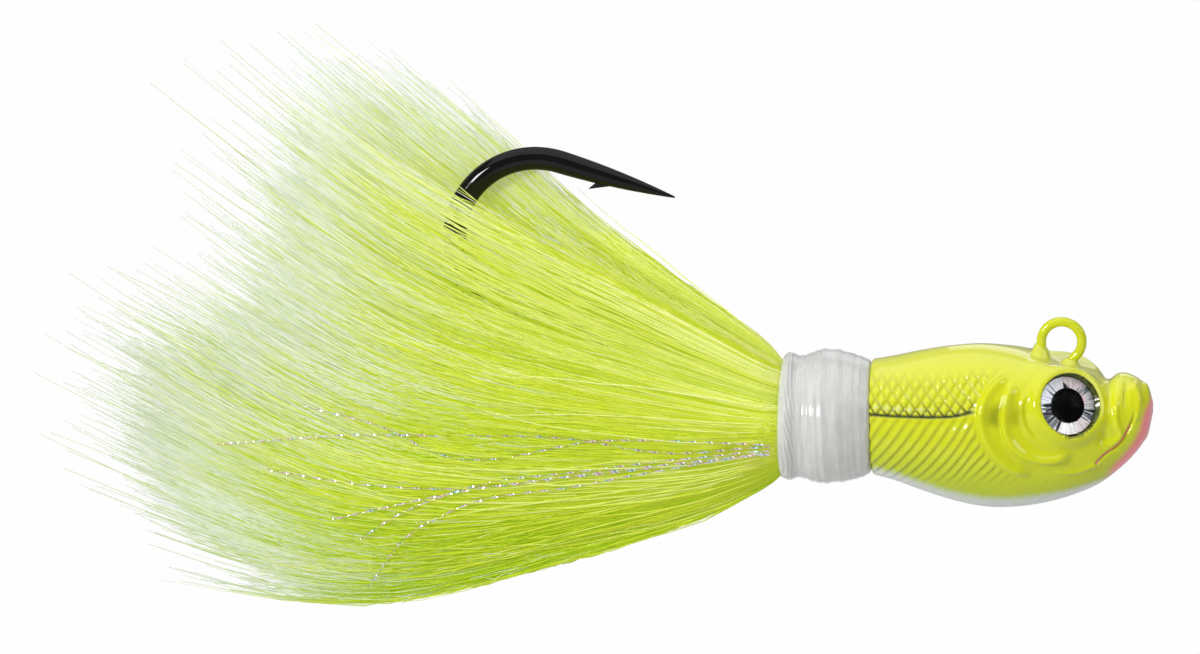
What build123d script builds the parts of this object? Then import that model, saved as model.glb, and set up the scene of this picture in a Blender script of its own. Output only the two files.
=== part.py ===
from build123d import *
import math
import os

# A bucktail jig: a fish-shaped lead head cast round a big hook, with a bucktail skirt tied on behind.
# Millimetres. +X runs to the nose, +Z is up, and the origin is the centre of the line-tie loop.

# ---- running sizes -------------------------------------------------------------------------------

CAST_GAP = 0.02          # hairline between the lead and the wire cast into it
LAYER_GAP = 0.02         # between pieces that lie on one another
HAIR_GAP = 0.3           # between a hair bunch and what it can brush past

# ---- lead head: station x, top z, belly z, half width --------------------------------------------

HEAD_STATIONS = [
    (-23.2, -2.2, -16.2, 6.5),
    (-18.4, -1.4, -17.9, 7.0),
    (-13.6, -0.7, -19.3, 7.2),
    (-8.8, -0.5, -20.1, 7.3),
    (-4.0, -1.1, -20.0, 7.2),
    (0.8, -2.3, -18.8, 6.3),
    (5.6, -4.4, -16.4, 4.5),
    (10.9, -6.0, -11.4, 2.3),
]
NOSE_ROUND = 0.9         # rounding of the snout's end
LIP_RADIUS = 1.5         # upper lip, a rounded bar across the snout
LIP_LENGTH = 5.0
LIP_X = 7.6
LIP_Z = -5.5
MOUTH_LINE = [(8.2, -9.0), (6.6, -11.6), (4.4, -13.4)]
MOUTH_WIDTH = 0.35       # the slit between the jaws
MOUTH_DEEPEST = 2.7      # distance from the middle plane at which the slit stops
GILL_STEP = 0.4          # how far each gill plate stands over the one behind it

COLLAR_RADIUS = 4.5      # cast collar that the skirt is tied to
COLLAR_REAR_X = -33.6
WRAP_AXIS_Z = -9.2

# ---- eyes: 7 mm stick-on eyes, turned forward and up ---------------------------------------------

EYE_SPOT = (1.05, -5.4, -6.6)
EYE_TURN = 26.0          # degrees towards the nose
EYE_TILT = 20.0          # degrees upwards
EYE_DIAMETER = 7.0
SOCKET_PLAY = 0.25
SOCKET_DEPTH = 1.05
BROW_RADIUS = 4.7        # raised rim round the socket
BROW_HEIGHT = 0.35
PAD_THICKNESS = 0.3
FOIL_THICKNESS = 0.2
PUPIL_DIAMETER = 4.2
PUPIL_THICKNESS = 0.08
DOME_HEIGHT = 1.0

# ---- line tie ------------------------------------------------------------------------------------

TIE_WIRE = 1.15          # wire diameter with its paint
TIE_RADIUS = 2.43        # loop, to the wire's middle
TIE_LEG_DEPTH = 7.0      # how far below the loop's centre the legs end in the lead
TIE_BACK_BEND = 1.3      # radius at which the front leg turns down

# ---- hook: forged wire, wider in the bend's plane than across it ----------------------------------

HOOK_HEIGHT = 2.8
HOOK_THICKNESS = 2.2
BEND_RADIUS = 10.0
BEND_CENTRE = (-63.0, 12.5)
SHANK_SLOPE = 18.2       # degrees, rising towards the bend
SHANK_LENGTH = 51.0      # from the bend to the ring eye inside the lead
BEND_SWEEP = 179.3
POINT_LENGTH = 14.4
HOOK_EYE_RADIUS = 2.0
HOOK_EYE_WIRE = 0.9
BARB_LENGTH = 2.4
BARB_HEIGHT = 1.1
BARB_THICKNESS = 0.8
BARB_BACK = 10.2         # barb tip to hook point

# ---- thread wrap and its cement: station x, outer radius -----------------------------------------

WRAP_STATIONS = [
    (-33.9, 7.35),
    (-32.9, 7.62),
    (-31.0, 7.45),
    (-28.4, 8.05),
    (-25.4, 7.6),
    (-23.5, 7.0),
]
CEMENT_SKIN = 0.15
BASE_THREAD_RADIUS = 4.9
BUTTS_RADIUS = 6.4
BUTTS_FRONT_X = -24.6
WRAP_FRONT_GAP = 0.3     # between the wrap and the back of the head

# ---- bucktail skirt: station x, top z, bottom z, half thickness ----------------------------------

SKIRT_ROOT_X = -34.3
SKIRT_STATIONS = [
    (SKIRT_ROOT_X, -1.8, -16.6, 7.0),
    (-46.0, 8.6, -21.8, 9.0),
    (-57.7, 18.0, -25.2, 11.0),
    (-69.4, 27.6, -28.0, 12.6),
    (-81.1, 31.8, -30.4, 13.2),
    (-92.8, 30.0, -31.2, 12.4),
    (-104.5, 17.0, -27.8, 9.4),
    (-116.0, -1.0, -14.0, 3.0),
]
SKIRT_REACH_X = -125.0
CORE_HALF = HOOK_THICKNESS / 2                     # white hair lies in the plane of the hook
CHEEK_INNER = CORE_HALF + HAIR_GAP                 # upper and lower bunches pass either side of it
CHEEK_THICKNESS = 2.0
CHEEK_OUTER = CHEEK_INNER + CHEEK_THICKNESS
SIDE_INNER = CHEEK_OUTER + HAIR_GAP                # right and left bunches cover the rest
SIDE_ROOT_BACK = 0.4     # how fast the side bunches' root faces lean back, mm per mm
SPLIT_SLOPE = 0.14       # rise of the parting between the upper and lower bunches
PARTING_Z = -9.1
BARE_SLOPE = 0.474       # rise of the right-hand hair's upper edge, which leaves the bend bare
BARE_ROOT_Z = -1.8

# ---- tinsel: ribbon size, and each strand's route as x, z ----------------------------------------

TINSEL_WIDTH = 0.36
TINSEL_THICKNESS = 0.1
TINSEL_LIFT = 0.7        # height of the first strand over the hair
TINSEL_STEP = 0.2        # how much higher each next strand lies, so that they cross clear
TINSEL_ROUTES = [
    [(-36.0, -11.4), (-47.0, -11.8), (-59.0, -9.5), (-72.9, -8.9), (-84.8, -8.9), (-101.3, -10.8)],
    [(-36.0, -11.0), (-54.0, -9.9), (-74.9, -10.9), (-79.9, -8.2), (-90.4, -5.3)],
    [(-36.0, -12.4), (-55.0, -14.2), (-73.7, -15.7), (-81.9, -15.3), (-95.6, -13.6)],
    [(-36.0, -11.8), (-56.0, -13.6), (-72.2, -16.0), (-80.7, -19.9), (-84.3, -22.5)],
    [(-36.0, -12.1), (-57.0, -15.5), (-73.7, -19.0), (-79.3, -22.8), (-83.7, -29.0)],
    [(-36.0, -12.2), (-56.0, -14.0), (-72.2, -16.1), (-81.8, -18.3), (-87.5, -19.8)],
]

os.makedirs("parts", exist_ok=True)


def hand_in(piece, label):
    piece.part.label = label
    export_step(piece.part, f"parts/{label}.step")


# ---- hook ----------------------------------------------------------------------------------------

shank_dir = Vector(-math.cos(math.radians(SHANK_SLOPE)), 0, math.sin(math.radians(SHANK_SLOPE)))
to_centre = Vector(math.sin(math.radians(SHANK_SLOPE)), 0, math.cos(math.radians(SHANK_SLOPE)))
bend_centre = Vector(BEND_CENTRE[0], 0, BEND_CENTRE[1])
bend_start = bend_centre - to_centre * BEND_RADIUS
shank_end = bend_start - shank_dir * SHANK_LENGTH
eye_centre = shank_end - shank_dir * HOOK_EYE_RADIUS
point_slope = math.radians(SHANK_SLOPE + BEND_SWEEP - 180)
point_dir = Vector(math.cos(point_slope), 0, -math.sin(point_slope))
point_up = Vector(math.sin(point_slope), 0, math.cos(point_slope))
bend_end = bend_centre + point_up * BEND_RADIUS
hook_tip = bend_end + point_dir * POINT_LENGTH


def cast_wire(gap):
    """The shank and ring eye that the lead is cast round, grown by gap."""
    with BuildPart() as wire:
        with BuildSketch(Plane(origin=shank_end, x_dir=(0, 1, 0), z_dir=shank_dir)):
            Ellipse(HOOK_THICKNESS / 2 + gap, HOOK_HEIGHT / 2 + gap)
        extrude(amount=SHANK_LENGTH)
        with Locations(eye_centre):
            Torus(HOOK_EYE_RADIUS, HOOK_EYE_WIRE + gap, rotation=(90, 0, 0))
    return wire.part


with BuildPart() as hook:
    add(cast_wire(0))
    with BuildLine(Plane.XZ):
        JernArc(
            start=(bend_start.X, bend_start.Z),
            tangent=(shank_dir.X, shank_dir.Z),
            radius=BEND_RADIUS,
            arc_size=-BEND_SWEEP,
        )
    with BuildSketch(Plane(origin=bend_start, x_dir=(0, 1, 0), z_dir=shank_dir)):
        Ellipse(HOOK_THICKNESS / 2, HOOK_HEIGHT / 2)
    sweep()
    for share, size in ((0, 1), (0.55, 0.68), (1, 0.07)):
        with BuildSketch(Plane(origin=bend_end + point_dir * POINT_LENGTH * share, x_dir=(0, 1, 0), z_dir=point_dir)):
            Ellipse(HOOK_THICKNESS / 2 * size, HOOK_HEIGHT / 2 * size)
    loft()
    barb_tip = hook_tip - point_dir * BARB_BACK - point_up * (HOOK_HEIGHT / 2 + BARB_HEIGHT * 0.6)
    barb_root = barb_tip + point_dir * BARB_LENGTH + point_up * BARB_HEIGHT
    barb_heel = barb_tip + point_dir * BARB_LENGTH * 0.4 + point_up * (BARB_HEIGHT * 1.3)
    with BuildSketch(Plane.XZ.offset(-BARB_THICKNESS / 2)):
        with BuildLine():
            Polyline(
                (barb_tip.X, barb_tip.Z), (barb_root.X, barb_root.Z), (barb_heel.X, barb_heel.Z), close=True
            )
        make_face()
    extrude(amount=BARB_THICKNESS)
hand_in(hook, "hook")

# ---- line tie ------------------------------------------------------------------------------------


def tie_wire(gap):
    """The loop and its two legs as one bent wire, grown by gap."""
    front = math.radians(-50)
    with BuildPart() as wire:
        with BuildLine(Plane.XZ):
            rear_leg = Line((-TIE_RADIUS, -TIE_LEG_DEPTH), (-TIE_RADIUS, 0))
            CenterArc((0, 0), TIE_RADIUS, 180, -230)
            turn = JernArc(
                start=(TIE_RADIUS * math.cos(front), TIE_RADIUS * math.sin(front)),
                tangent=(math.sin(front), -math.cos(front)),
                radius=TIE_BACK_BEND,
                arc_size=50,
            )
            Line(turn @ 1, turn @ 1 + (turn % 1) * 3.0)
        with BuildSketch(Plane(origin=rear_leg @ 0, x_dir=(0, 1, 0), z_dir=rear_leg % 0)):
            Circle(TIE_WIRE / 2 + gap)
        sweep()
    return wire.part


with BuildPart() as line_tie:
    add(tie_wire(0))
hand_in(line_tie, "line_tie")

# ---- lead head -----------------------------------------------------------------------------------


def head_body(growth):
    """The fish's body with its half width grown."""
    with BuildPart() as body:
        for x, top, belly, half in HEAD_STATIONS:
            with BuildSketch(Plane.YZ.offset(x)):
                with Locations((0, (top + belly) / 2)):
                    Ellipse(half + growth, (top - belly) / 2)
        loft()
    return body.part


def gill_plate(growth, rear_edge, front_edge):
    """A raised plate over both cheeks, with its rear edge drawn through the given points."""
    with BuildPart() as plate:
        add(head_body(growth))
        with BuildSketch(Plane.XZ.offset(-12)):
            with BuildLine():
                Spline(*rear_edge)
                Polyline(rear_edge[-1], *front_edge, rear_edge[0])
            make_face()
        extrude(amount=24, mode=Mode.INTERSECT)
    return plate.part


eye_turn = math.radians(EYE_TURN)
eye_tilt = math.radians(EYE_TILT)


def eye_plane(side):
    """Plane on the cheek's surface, facing out of the socket. side is -1 for the right eye, 1 for the left."""
    facing = (
        math.sin(eye_turn) * math.cos(eye_tilt),
        side * math.cos(eye_turn) * math.cos(eye_tilt),
        math.sin(eye_tilt),
    )
    return Plane(origin=(EYE_SPOT[0], -side * EYE_SPOT[1], EYE_SPOT[2]), x_dir=(0, 0, 1), z_dir=facing)


with BuildPart() as lead_head:
    add(head_body(0))
    fillet(lead_head.faces().sort_by(Axis.X)[-1].edges(), NOSE_ROUND)
    add(
        gill_plate(
            GILL_STEP,
            [(-7.0, -3.2), (-9.6, -5.4), (-10.4, -7.8), (-9.8, -10.2), (-8.5, -12.7), (-6.2, -14.4), (-4.1, -15.0)],
            [(2.5, -14.6), (5.2, -11.5), (5.6, -6.0)],
        )
    )
    add(
        gill_plate(
            2 * GILL_STEP,
            [(-5.6, -4.2), (-7.0, -6.3), (-7.3, -8.9), (-6.5, -11.2), (-5.2, -12.5), (-3.4, -13.3), (-0.8, -13.4)],
            [(2.2, -12.6), (4.0, -10.2), (4.2, -6.6)],
        )
    )
    with BuildSketch(Plane.YZ.offset(COLLAR_REAR_X)):
        with Locations((0, WRAP_AXIS_Z)):
            Circle(COLLAR_RADIUS)
    extrude(amount=HEAD_STATIONS[0][0] - COLLAR_REAR_X + 1)
    with Locations((LIP_X, 0, LIP_Z)):
        Cylinder(LIP_RADIUS, LIP_LENGTH, rotation=(90, 0, 0))
    for side in (-1, 1):
        with BuildSketch(eye_plane(side).offset(-2.5)):
            Circle(BROW_RADIUS)
        extrude(amount=2.5 + BROW_HEIGHT, taper=6)
    for side in (-1, 1):
        with BuildSketch(eye_plane(side).offset(-SOCKET_DEPTH)):
            Circle(EYE_DIAMETER / 2 + SOCKET_PLAY)
        extrude(amount=SOCKET_DEPTH + 3, mode=Mode.SUBTRACT)
        with BuildSketch(Plane.XZ.offset(-side * MOUTH_DEEPEST)):
            with BuildLine():
                ThreePointArc(*MOUTH_LINE)
                offset(amount=MOUTH_WIDTH / 2)
            make_face()
        extrude(amount=10, dir=(0, side, 0), mode=Mode.SUBTRACT)
    add(cast_wire(CAST_GAP), mode=Mode.SUBTRACT)
    add(tie_wire(CAST_GAP), mode=Mode.SUBTRACT)
hand_in(lead_head, "lead_head")

# ---- eyes ----------------------------------------------------------------------------------------

pad_base = -SOCKET_DEPTH + LAYER_GAP
foil_base = pad_base + PAD_THICKNESS + LAYER_GAP
pupil_base = foil_base + FOIL_THICKNESS + LAYER_GAP
dome_base = pupil_base
dome_radius = (EYE_DIAMETER**2 / 4 + DOME_HEIGHT**2) / (2 * DOME_HEIGHT)

for side, hand in ((-1, "right"), (1, "left")):
    face = eye_plane(side)

    with BuildPart() as pad:
        with BuildSketch(face.offset(pad_base)):
            Circle(EYE_DIAMETER / 2 - 0.2)
        extrude(amount=PAD_THICKNESS)
    hand_in(pad, f"{hand}_eye_pad")

    with BuildPart() as foil:
        with BuildSketch(face.offset(foil_base)):
            Circle(EYE_DIAMETER / 2)
        extrude(amount=FOIL_THICKNESS)
    hand_in(foil, f"{hand}_eye_foil")

    with BuildPart() as pupil:
        with BuildSketch(face.offset(pupil_base)):
            Circle(PUPIL_DIAMETER / 2)
        extrude(amount=PUPIL_THICKNESS)
    hand_in(pupil, f"{hand}_pupil")

    with BuildPart() as dome:
        with BuildSketch(face.offset(dome_base)):
            Circle(EYE_DIAMETER / 2)
        extrude(amount=DOME_HEIGHT)
        with Locations(face.offset(dome_base + DOME_HEIGHT - dome_radius).location):
            Sphere(dome_radius, mode=Mode.INTERSECT)
        with BuildSketch(face.offset(dome_base)):
            Circle(PUPIL_DIAMETER / 2 + LAYER_GAP)
        extrude(amount=PUPIL_THICKNESS + LAYER_GAP, mode=Mode.SUBTRACT)
    hand_in(dome, f"{hand}_eye_dome")

# ---- thread wrap ---------------------------------------------------------------------------------

wrap_rear = WRAP_STATIONS[0][0]
wrap_front = WRAP_STATIONS[-1][0]
wrap_axis = Axis((0, 0, WRAP_AXIS_Z), (1, 0, 0))


def wound_ring(inner, drop):
    """A ring about the collar whose outside follows the wrap's stations, lowered by drop."""
    stations = [(x, WRAP_AXIS_Z + radius - drop) for x, radius in WRAP_STATIONS]
    with BuildPart() as ring:
        with BuildSketch(Plane.XZ):
            with BuildLine():
                Spline(*stations)
                Polyline(
                    stations[-1],
                    (wrap_front, WRAP_AXIS_Z + inner),
                    (wrap_rear, WRAP_AXIS_Z + inner),
                    stations[0],
                )
            make_face()
        revolve(axis=wrap_axis)
    return ring.part


with BuildPart() as base_thread:
    with BuildSketch(Plane.YZ.offset(COLLAR_REAR_X)):
        with Locations((0, WRAP_AXIS_Z)):
            Circle(BASE_THREAD_RADIUS)
            Circle(COLLAR_RADIUS + LAYER_GAP, mode=Mode.SUBTRACT)
    extrude(amount=wrap_front - COLLAR_REAR_X)
hand_in(base_thread, "base_thread")

with BuildPart() as hair_butts:
    with BuildSketch(Plane.YZ.offset(wrap_rear)):
        with Locations((0, WRAP_AXIS_Z)):
            Circle(BUTTS_RADIUS)
            Circle(BASE_THREAD_RADIUS + LAYER_GAP, mode=Mode.SUBTRACT)
    extrude(amount=BUTTS_FRONT_X - wrap_rear)
hand_in(hair_butts, "hair_butts")

with BuildPart() as thread_wrap:
    add(wound_ring(BUTTS_RADIUS + LAYER_GAP, CEMENT_SKIN + LAYER_GAP))
hand_in(thread_wrap, "thread_wrap")

with BuildPart() as cement_coat:
    add(wound_ring(BUTTS_RADIUS + LAYER_GAP, 0))
    add(wound_ring(0, CEMENT_SKIN), mode=Mode.SUBTRACT)
hand_in(cement_coat, "cement_coat")

# ---- bucktail skirt ------------------------------------------------------------------------------

with BuildPart() as skirt_room:
    for x, top, bottom, half in SKIRT_STATIONS:
        with BuildSketch(Plane.YZ.offset(x)):
            with Locations((0, (top + bottom) / 2)):
                Ellipse(half, (top - bottom) / 2)
    loft()


def hair_bunch(label, outline, y_low, y_high, root_lean=0):
    """The part of the skirt inside an XZ outline and between two y planes."""
    with BuildPart() as bunch:
        with BuildSketch(Plane.XZ.offset(-y_high)):
            with BuildLine():
                Polyline(*outline, close=True)
            make_face()
        extrude(amount=y_high - y_low)
        add(skirt_room.part, mode=Mode.INTERSECT)
        if root_lean:
            inner = y_low if y_low > 0 else y_high
            outward = 1 if y_low > 0 else -1
            with BuildSketch(Plane.XY.offset(-60)):
                with BuildLine():
                    Polyline(
                        (SKIRT_ROOT_X, inner),
                        (SKIRT_ROOT_X - root_lean * 20, inner + outward * 20),
                        (SKIRT_REACH_X, inner + outward * 20),
                        (SKIRT_REACH_X, inner),
                        close=True,
                    )
                make_face()
            extrude(amount=120, mode=Mode.INTERSECT)
    hand_in(bunch, label)


skirt_length = SKIRT_ROOT_X - SKIRT_REACH_X
root_lean_z = 0.28       # root faces lean back above and below the parting
upper_root = (SKIRT_ROOT_X - root_lean_z * 9, PARTING_Z + 9)
lower_root = (SKIRT_ROOT_X - root_lean_z * 9, PARTING_Z - 9)
parting_up = PARTING_Z + HAIR_GAP
parting_down = PARTING_Z - HAIR_GAP
bare_rear = (SKIRT_REACH_X, BARE_ROOT_Z + BARE_SLOPE * skirt_length)
bare_root_x = SKIRT_ROOT_X - root_lean_z * (BARE_ROOT_Z - PARTING_Z)

upper_bare = [
    (SKIRT_ROOT_X, parting_up),
    (bare_root_x, BARE_ROOT_Z),
    bare_rear,
    (SKIRT_REACH_X, parting_up + SPLIT_SLOPE * skirt_length),
]
upper_full = [
    (SKIRT_ROOT_X, parting_up),
    upper_root,
    (SKIRT_ROOT_X - root_lean_z * 9, 50),
    (SKIRT_REACH_X, 50),
    (SKIRT_REACH_X, parting_up + SPLIT_SLOPE * skirt_length),
]
lower_full = [
    (SKIRT_ROOT_X, parting_down),
    lower_root,
    (SKIRT_ROOT_X - root_lean_z * 9, -50),
    (SKIRT_REACH_X, -50),
    (SKIRT_REACH_X, parting_down + SPLIT_SLOPE * skirt_length),
]
side_full = [(SKIRT_ROOT_X, 50), (SKIRT_ROOT_X, -50), (SKIRT_REACH_X, -50), (SKIRT_REACH_X, 50)]
side_bare = [(SKIRT_ROOT_X, BARE_ROOT_Z), (SKIRT_ROOT_X, -50), (SKIRT_REACH_X, -50), bare_rear]
shank_under = HOOK_HEIGHT / 2 + HAIR_GAP
core_start = shank_end + shank_dir * (shank_end.X - SKIRT_ROOT_X) / math.cos(math.radians(SHANK_SLOPE))
core_outline = [
    (SKIRT_ROOT_X, core_start.Z - shank_under - 0.2),
    (bend_start.X + 4, bend_start.Z - shank_under - 1.5),
    (bend_centre.X - 9, bend_centre.Z - BEND_RADIUS - 4),
    (bend_centre.X - 19, bend_centre.Z - 5),
    (SKIRT_REACH_X, bend_centre.Z),
    (SKIRT_REACH_X, -22),
    (bend_centre.X - 30, -26),
    (SKIRT_ROOT_X, -15.4),
]

hair_bunch("white_hair", core_outline, -CORE_HALF, CORE_HALF)
hair_bunch("upper_right_hair", upper_bare, -CHEEK_OUTER, -CHEEK_INNER)
hair_bunch("upper_left_hair", upper_full, CHEEK_INNER, CHEEK_OUTER)
hair_bunch("lower_right_hair", lower_full, -CHEEK_OUTER, -CHEEK_INNER)
hair_bunch("lower_left_hair", lower_full, CHEEK_INNER, CHEEK_OUTER)
hair_bunch("right_hair", side_bare, -20, -SIDE_INNER, SIDE_ROOT_BACK)
hair_bunch("left_hair", side_full, SIDE_INNER, 20, SIDE_ROOT_BACK)

# ---- tinsel --------------------------------------------------------------------------------------


def skirt_half_thickness(x, z):
    """Half thickness of the skirt at a place seen from the side."""
    for front, rear in zip(SKIRT_STATIONS, SKIRT_STATIONS[1:]):
        if rear[0] <= x <= front[0]:
            share = (front[0] - x) / (front[0] - rear[0])
            top, bottom, half = [a + (b - a) * share for a, b in zip(front[1:], rear[1:])]
            height = (2 * z - top - bottom) / (top - bottom)
            return half * math.sqrt(max(0.05, 1 - height**2))
    return SKIRT_STATIONS[-1][3]


for side, hand in ((-1, "right"), (1, "left")):
    for number, route in enumerate(TINSEL_ROUTES):
        lift = TINSEL_LIFT + TINSEL_STEP * number
        knots = [(x, side * (skirt_half_thickness(x, z) + lift), z) for x, z in route]
        with BuildPart() as tinsel:
            with BuildLine():
                strand = Spline(*knots)
            with BuildSketch(Plane(origin=strand @ 0, x_dir=(0, 0, 1), z_dir=strand % 0)):
                Rectangle(TINSEL_WIDTH, TINSEL_THICKNESS)
            sweep()
        hand_in(tinsel, f"{hand}_tinsel_{number + 1}")
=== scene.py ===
# %% [markdown]
# # A bucktail jig
# A fish-shaped lead head is cast round a big hook, painted chartreuse and given stick-on eyes. Behind it a
# skirt of dyed deer-tail hair and a few strands of tinsel are bound on with thread. The mechanical model is
# already in place as a fixed frame in metres, so this script only gives it its looks. It works in
# millimetres, because a jig is made in millimetres, and scales by MM when a mesh is written.

# %% Load the frame
import math

import bpy
import numpy as np
from mathutils import Matrix, Vector


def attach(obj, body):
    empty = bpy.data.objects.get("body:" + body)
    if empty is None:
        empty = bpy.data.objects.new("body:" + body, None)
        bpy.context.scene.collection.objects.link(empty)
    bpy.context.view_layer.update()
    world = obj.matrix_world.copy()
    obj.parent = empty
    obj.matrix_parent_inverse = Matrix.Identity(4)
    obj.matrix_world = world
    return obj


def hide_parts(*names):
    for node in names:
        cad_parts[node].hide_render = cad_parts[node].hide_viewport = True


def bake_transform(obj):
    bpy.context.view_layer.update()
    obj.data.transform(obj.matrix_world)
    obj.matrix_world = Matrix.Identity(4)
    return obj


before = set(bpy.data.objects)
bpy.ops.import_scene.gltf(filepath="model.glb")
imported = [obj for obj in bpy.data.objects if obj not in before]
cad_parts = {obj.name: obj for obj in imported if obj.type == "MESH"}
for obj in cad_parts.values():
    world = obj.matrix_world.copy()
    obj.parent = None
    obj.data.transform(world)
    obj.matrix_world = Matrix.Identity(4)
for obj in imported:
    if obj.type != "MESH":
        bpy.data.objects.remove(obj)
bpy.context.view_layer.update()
MM = 0.001

# %% [markdown]
# ## Helpers
# The head, the wrap, the hair and the tinsel are meshes worked out from arrays of points: grids of rings,
# thin tubes and narrow strips. Modelling tools would make them one face at a time, and an array makes them
# all at once. Smooth outlines are drawn through a few knots, as a draughtsman bends a spline through pins.

# %% Colours and curves


def srgb(red, green, blue):
    """A colour from 0 to 255 as the linear values that a shader takes."""
    part = np.array([red, green, blue]) / 255
    linear = np.where(part <= 0.04045, part / 12.92, ((part + 0.055) / 1.055) ** 2.4)
    return (*[float(c) for c in linear], 1.0)


def through(knots, x):
    """The height at x of a smooth curve through (x, height) knots, listed with x rising."""
    at, height = np.array(knots, float).T
    slope = np.gradient(height, at)
    i = np.clip(np.searchsorted(at, x) - 1, 0, len(at) - 2)
    step = at[i + 1] - at[i]
    t = np.clip((x - at[i]) / step, 0, 1)
    rise = height[i + 1] - height[i]
    lean = step * t * (1 - t) * (slope[i] * (1 - t) - slope[i + 1] * t)
    return height[i] + rise * (3 - 2 * t) * t**2 + lean


def fade(value, low, high):
    """0 below low, 1 above high, and a smooth rise between them."""
    t = np.clip((value - low) / (high - low), 0, 1)
    return t * t * (3 - 2 * t)


print("a grey of 128 is", round(srgb(128, 128, 128)[0], 3), "as a linear value")

# %% Meshes from points


def ring_faces(rows, columns):
    """Quads of a tube whose rows are closed rings of columns points."""
    corner = np.arange(rows * columns).reshape(rows, columns)
    beside = np.roll(corner, -1, axis=1)
    quads = np.stack([corner[:-1], beside[:-1], beside[1:], corner[1:]], axis=-1)
    return quads.reshape(-1, 4)


def new_piece(name, points, face_sets, material):
    """A smooth-shaded mesh object from points in mm and lists of faces, a list for each count of corners."""
    mesh = bpy.data.meshes.new(name)
    points = np.asarray(points).reshape(-1, 3)
    face_sets = [np.asarray(faces) for faces in face_sets]
    sizes = np.concatenate([np.full(len(faces), faces.shape[1]) for faces in face_sets])
    corners = np.concatenate([faces.ravel() for faces in face_sets])
    starts = np.concatenate([[0], np.cumsum(sizes)[:-1]])
    mesh.vertices.add(len(points))
    mesh.vertices.foreach_set("co", (points * MM).astype(np.float32).ravel())
    mesh.loops.add(len(corners))
    mesh.loops.foreach_set("vertex_index", corners.astype(np.int32))
    mesh.polygons.add(len(sizes))
    mesh.polygons.foreach_set("loop_start", starts.astype(np.int32))
    mesh.polygons.foreach_set("use_smooth", np.ones(len(sizes), bool))
    mesh.update(calc_edges=True)
    mesh.validate()
    mesh.materials.append(material)
    made = bpy.data.objects.new(name, mesh)
    bpy.context.scene.collection.objects.link(made)
    return made


print("two rings of 3 points take", len(ring_faces(2, 3)), "quads")

# %% [markdown]
# ## Node helpers
# Finishes are built from shader nodes. A node can be set by hand in the editor, or by two or three lines of
# script for each. The helpers here turn each kind of node into one short call, so that a finish reads like
# the sum that it is.

# %% Nodes for numbers


def put(tree, kind, *feeds, **settings):
    """Adds a node. Each feed goes to the input in that place: a socket is linked, a value set, None left."""
    made = tree.nodes.new(kind)
    for key, value in settings.items():
        setattr(made, key, value)
    for socket, feed in zip(made.inputs, feeds):
        if isinstance(feed, bpy.types.NodeSocket):
            tree.links.new(feed, socket)
        elif feed is not None:
            socket.default_value = feed
    return made


def sums(tree, operation, *feeds):
    """The result of one Math node."""
    return put(tree, "ShaderNodeMath", *feeds, operation=operation).outputs[0]


def plus(tree, first, second):
    """Two values added."""
    return sums(tree, "ADD", first, second)


def minus(tree, first, second):
    """The second value taken from the first."""
    return sums(tree, "SUBTRACT", first, second)


def times(tree, first, second):
    """Two values multiplied."""
    return sums(tree, "MULTIPLY", first, second)


def divided(tree, first, second):
    """The first value divided by the second."""
    return sums(tree, "DIVIDE", first, second)


def swing(tree, value, size):
    """A value from 0 to 1 turned into one that swings about 0, with the given size."""
    return times(tree, minus(tree, value, 0.5), size)


def mapped(tree, *feeds, **settings):
    """A value moved from one span to another, fed as value, from low, from high, to low and to high."""
    return put(tree, "ShaderNodeMapRange", *feeds, **settings).outputs[0]


print("the number nodes are ready")

# %% Nodes for places and colours


def clouds(tree, place, scale, detail):
    """Soft noise from 0 to 1 at a place."""
    return put(tree, "ShaderNodeTexNoise", place, None, scale, detail).outputs[0]


def object_place(tree):
    """The place on the piece, in its own metres."""
    return put(tree, "ShaderNodeTexCoord").outputs["Object"]


def joined(tree, *parts):
    """A vector from its three parts."""
    return put(tree, "ShaderNodeCombineXYZ", *parts).outputs[0]


def mixed(tree, factor, first, second, way="MIX"):
    """The result of mixing two colours."""
    for_numbers_and_vectors = [None] * 5
    feeds = (factor, *for_numbers_and_vectors, first, second)
    return put(tree, "ShaderNodeMix", *feeds, data_type="RGBA", blend_type=way).outputs[2]


def ramp(tree, factor, *stops):
    """A smooth colour ramp from (place, colour) stops, with each colour from 0 to 255."""
    made = put(tree, "ShaderNodeValToRGB", factor)
    marks = made.color_ramp.elements
    while len(marks) < len(stops):
        marks.new(0.5)
    for mark, (place, colour) in zip(marks, stops):
        mark.position, mark.color = place, srgb(*colour)
    return made.outputs[0]


print("the place and colour nodes are ready")

# %% Materials and node groups


def new_material(name, **sockets):
    """A material with one Principled BSDF, whose sockets are set by name, with _ for a space."""
    made = bpy.data.materials.new(name)
    made.use_nodes = True
    shader = made.node_tree.nodes["Principled BSDF"]
    for key, value in sockets.items():
        shader.inputs[key.replace("_", " ")].default_value = value
    return made, made.node_tree, shader


def link_to(tree, ends, **results):
    """Links results to the inputs of a shader or of a group's end, named with _ for a space."""
    for key, result in results.items():
        tree.links.new(result, ends[key.replace("_", " ")])


def bumped(tree, shader, height, strength, distance):
    """Feeds a height through a Bump node into the shader's normal."""
    made = put(tree, "ShaderNodeBump", strength, distance, None, height)
    link_to(tree, shader.inputs, Normal=made.outputs[0])


def new_group(name, inputs, outputs):
    """A node group with typed sockets, and its two end nodes."""
    group = bpy.data.node_groups.new(name, "ShaderNodeTree")
    for label, kind, value in inputs:
        socket = group.interface.new_socket(label, in_out="INPUT", socket_type=kind)
        if value is not None:
            socket.default_value = value
    for label, kind in outputs:
        group.interface.new_socket(label, in_out="OUTPUT", socket_type=kind)
    return group, group.nodes.new("NodeGroupInput").outputs, group.nodes.new("NodeGroupOutput").inputs


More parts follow.
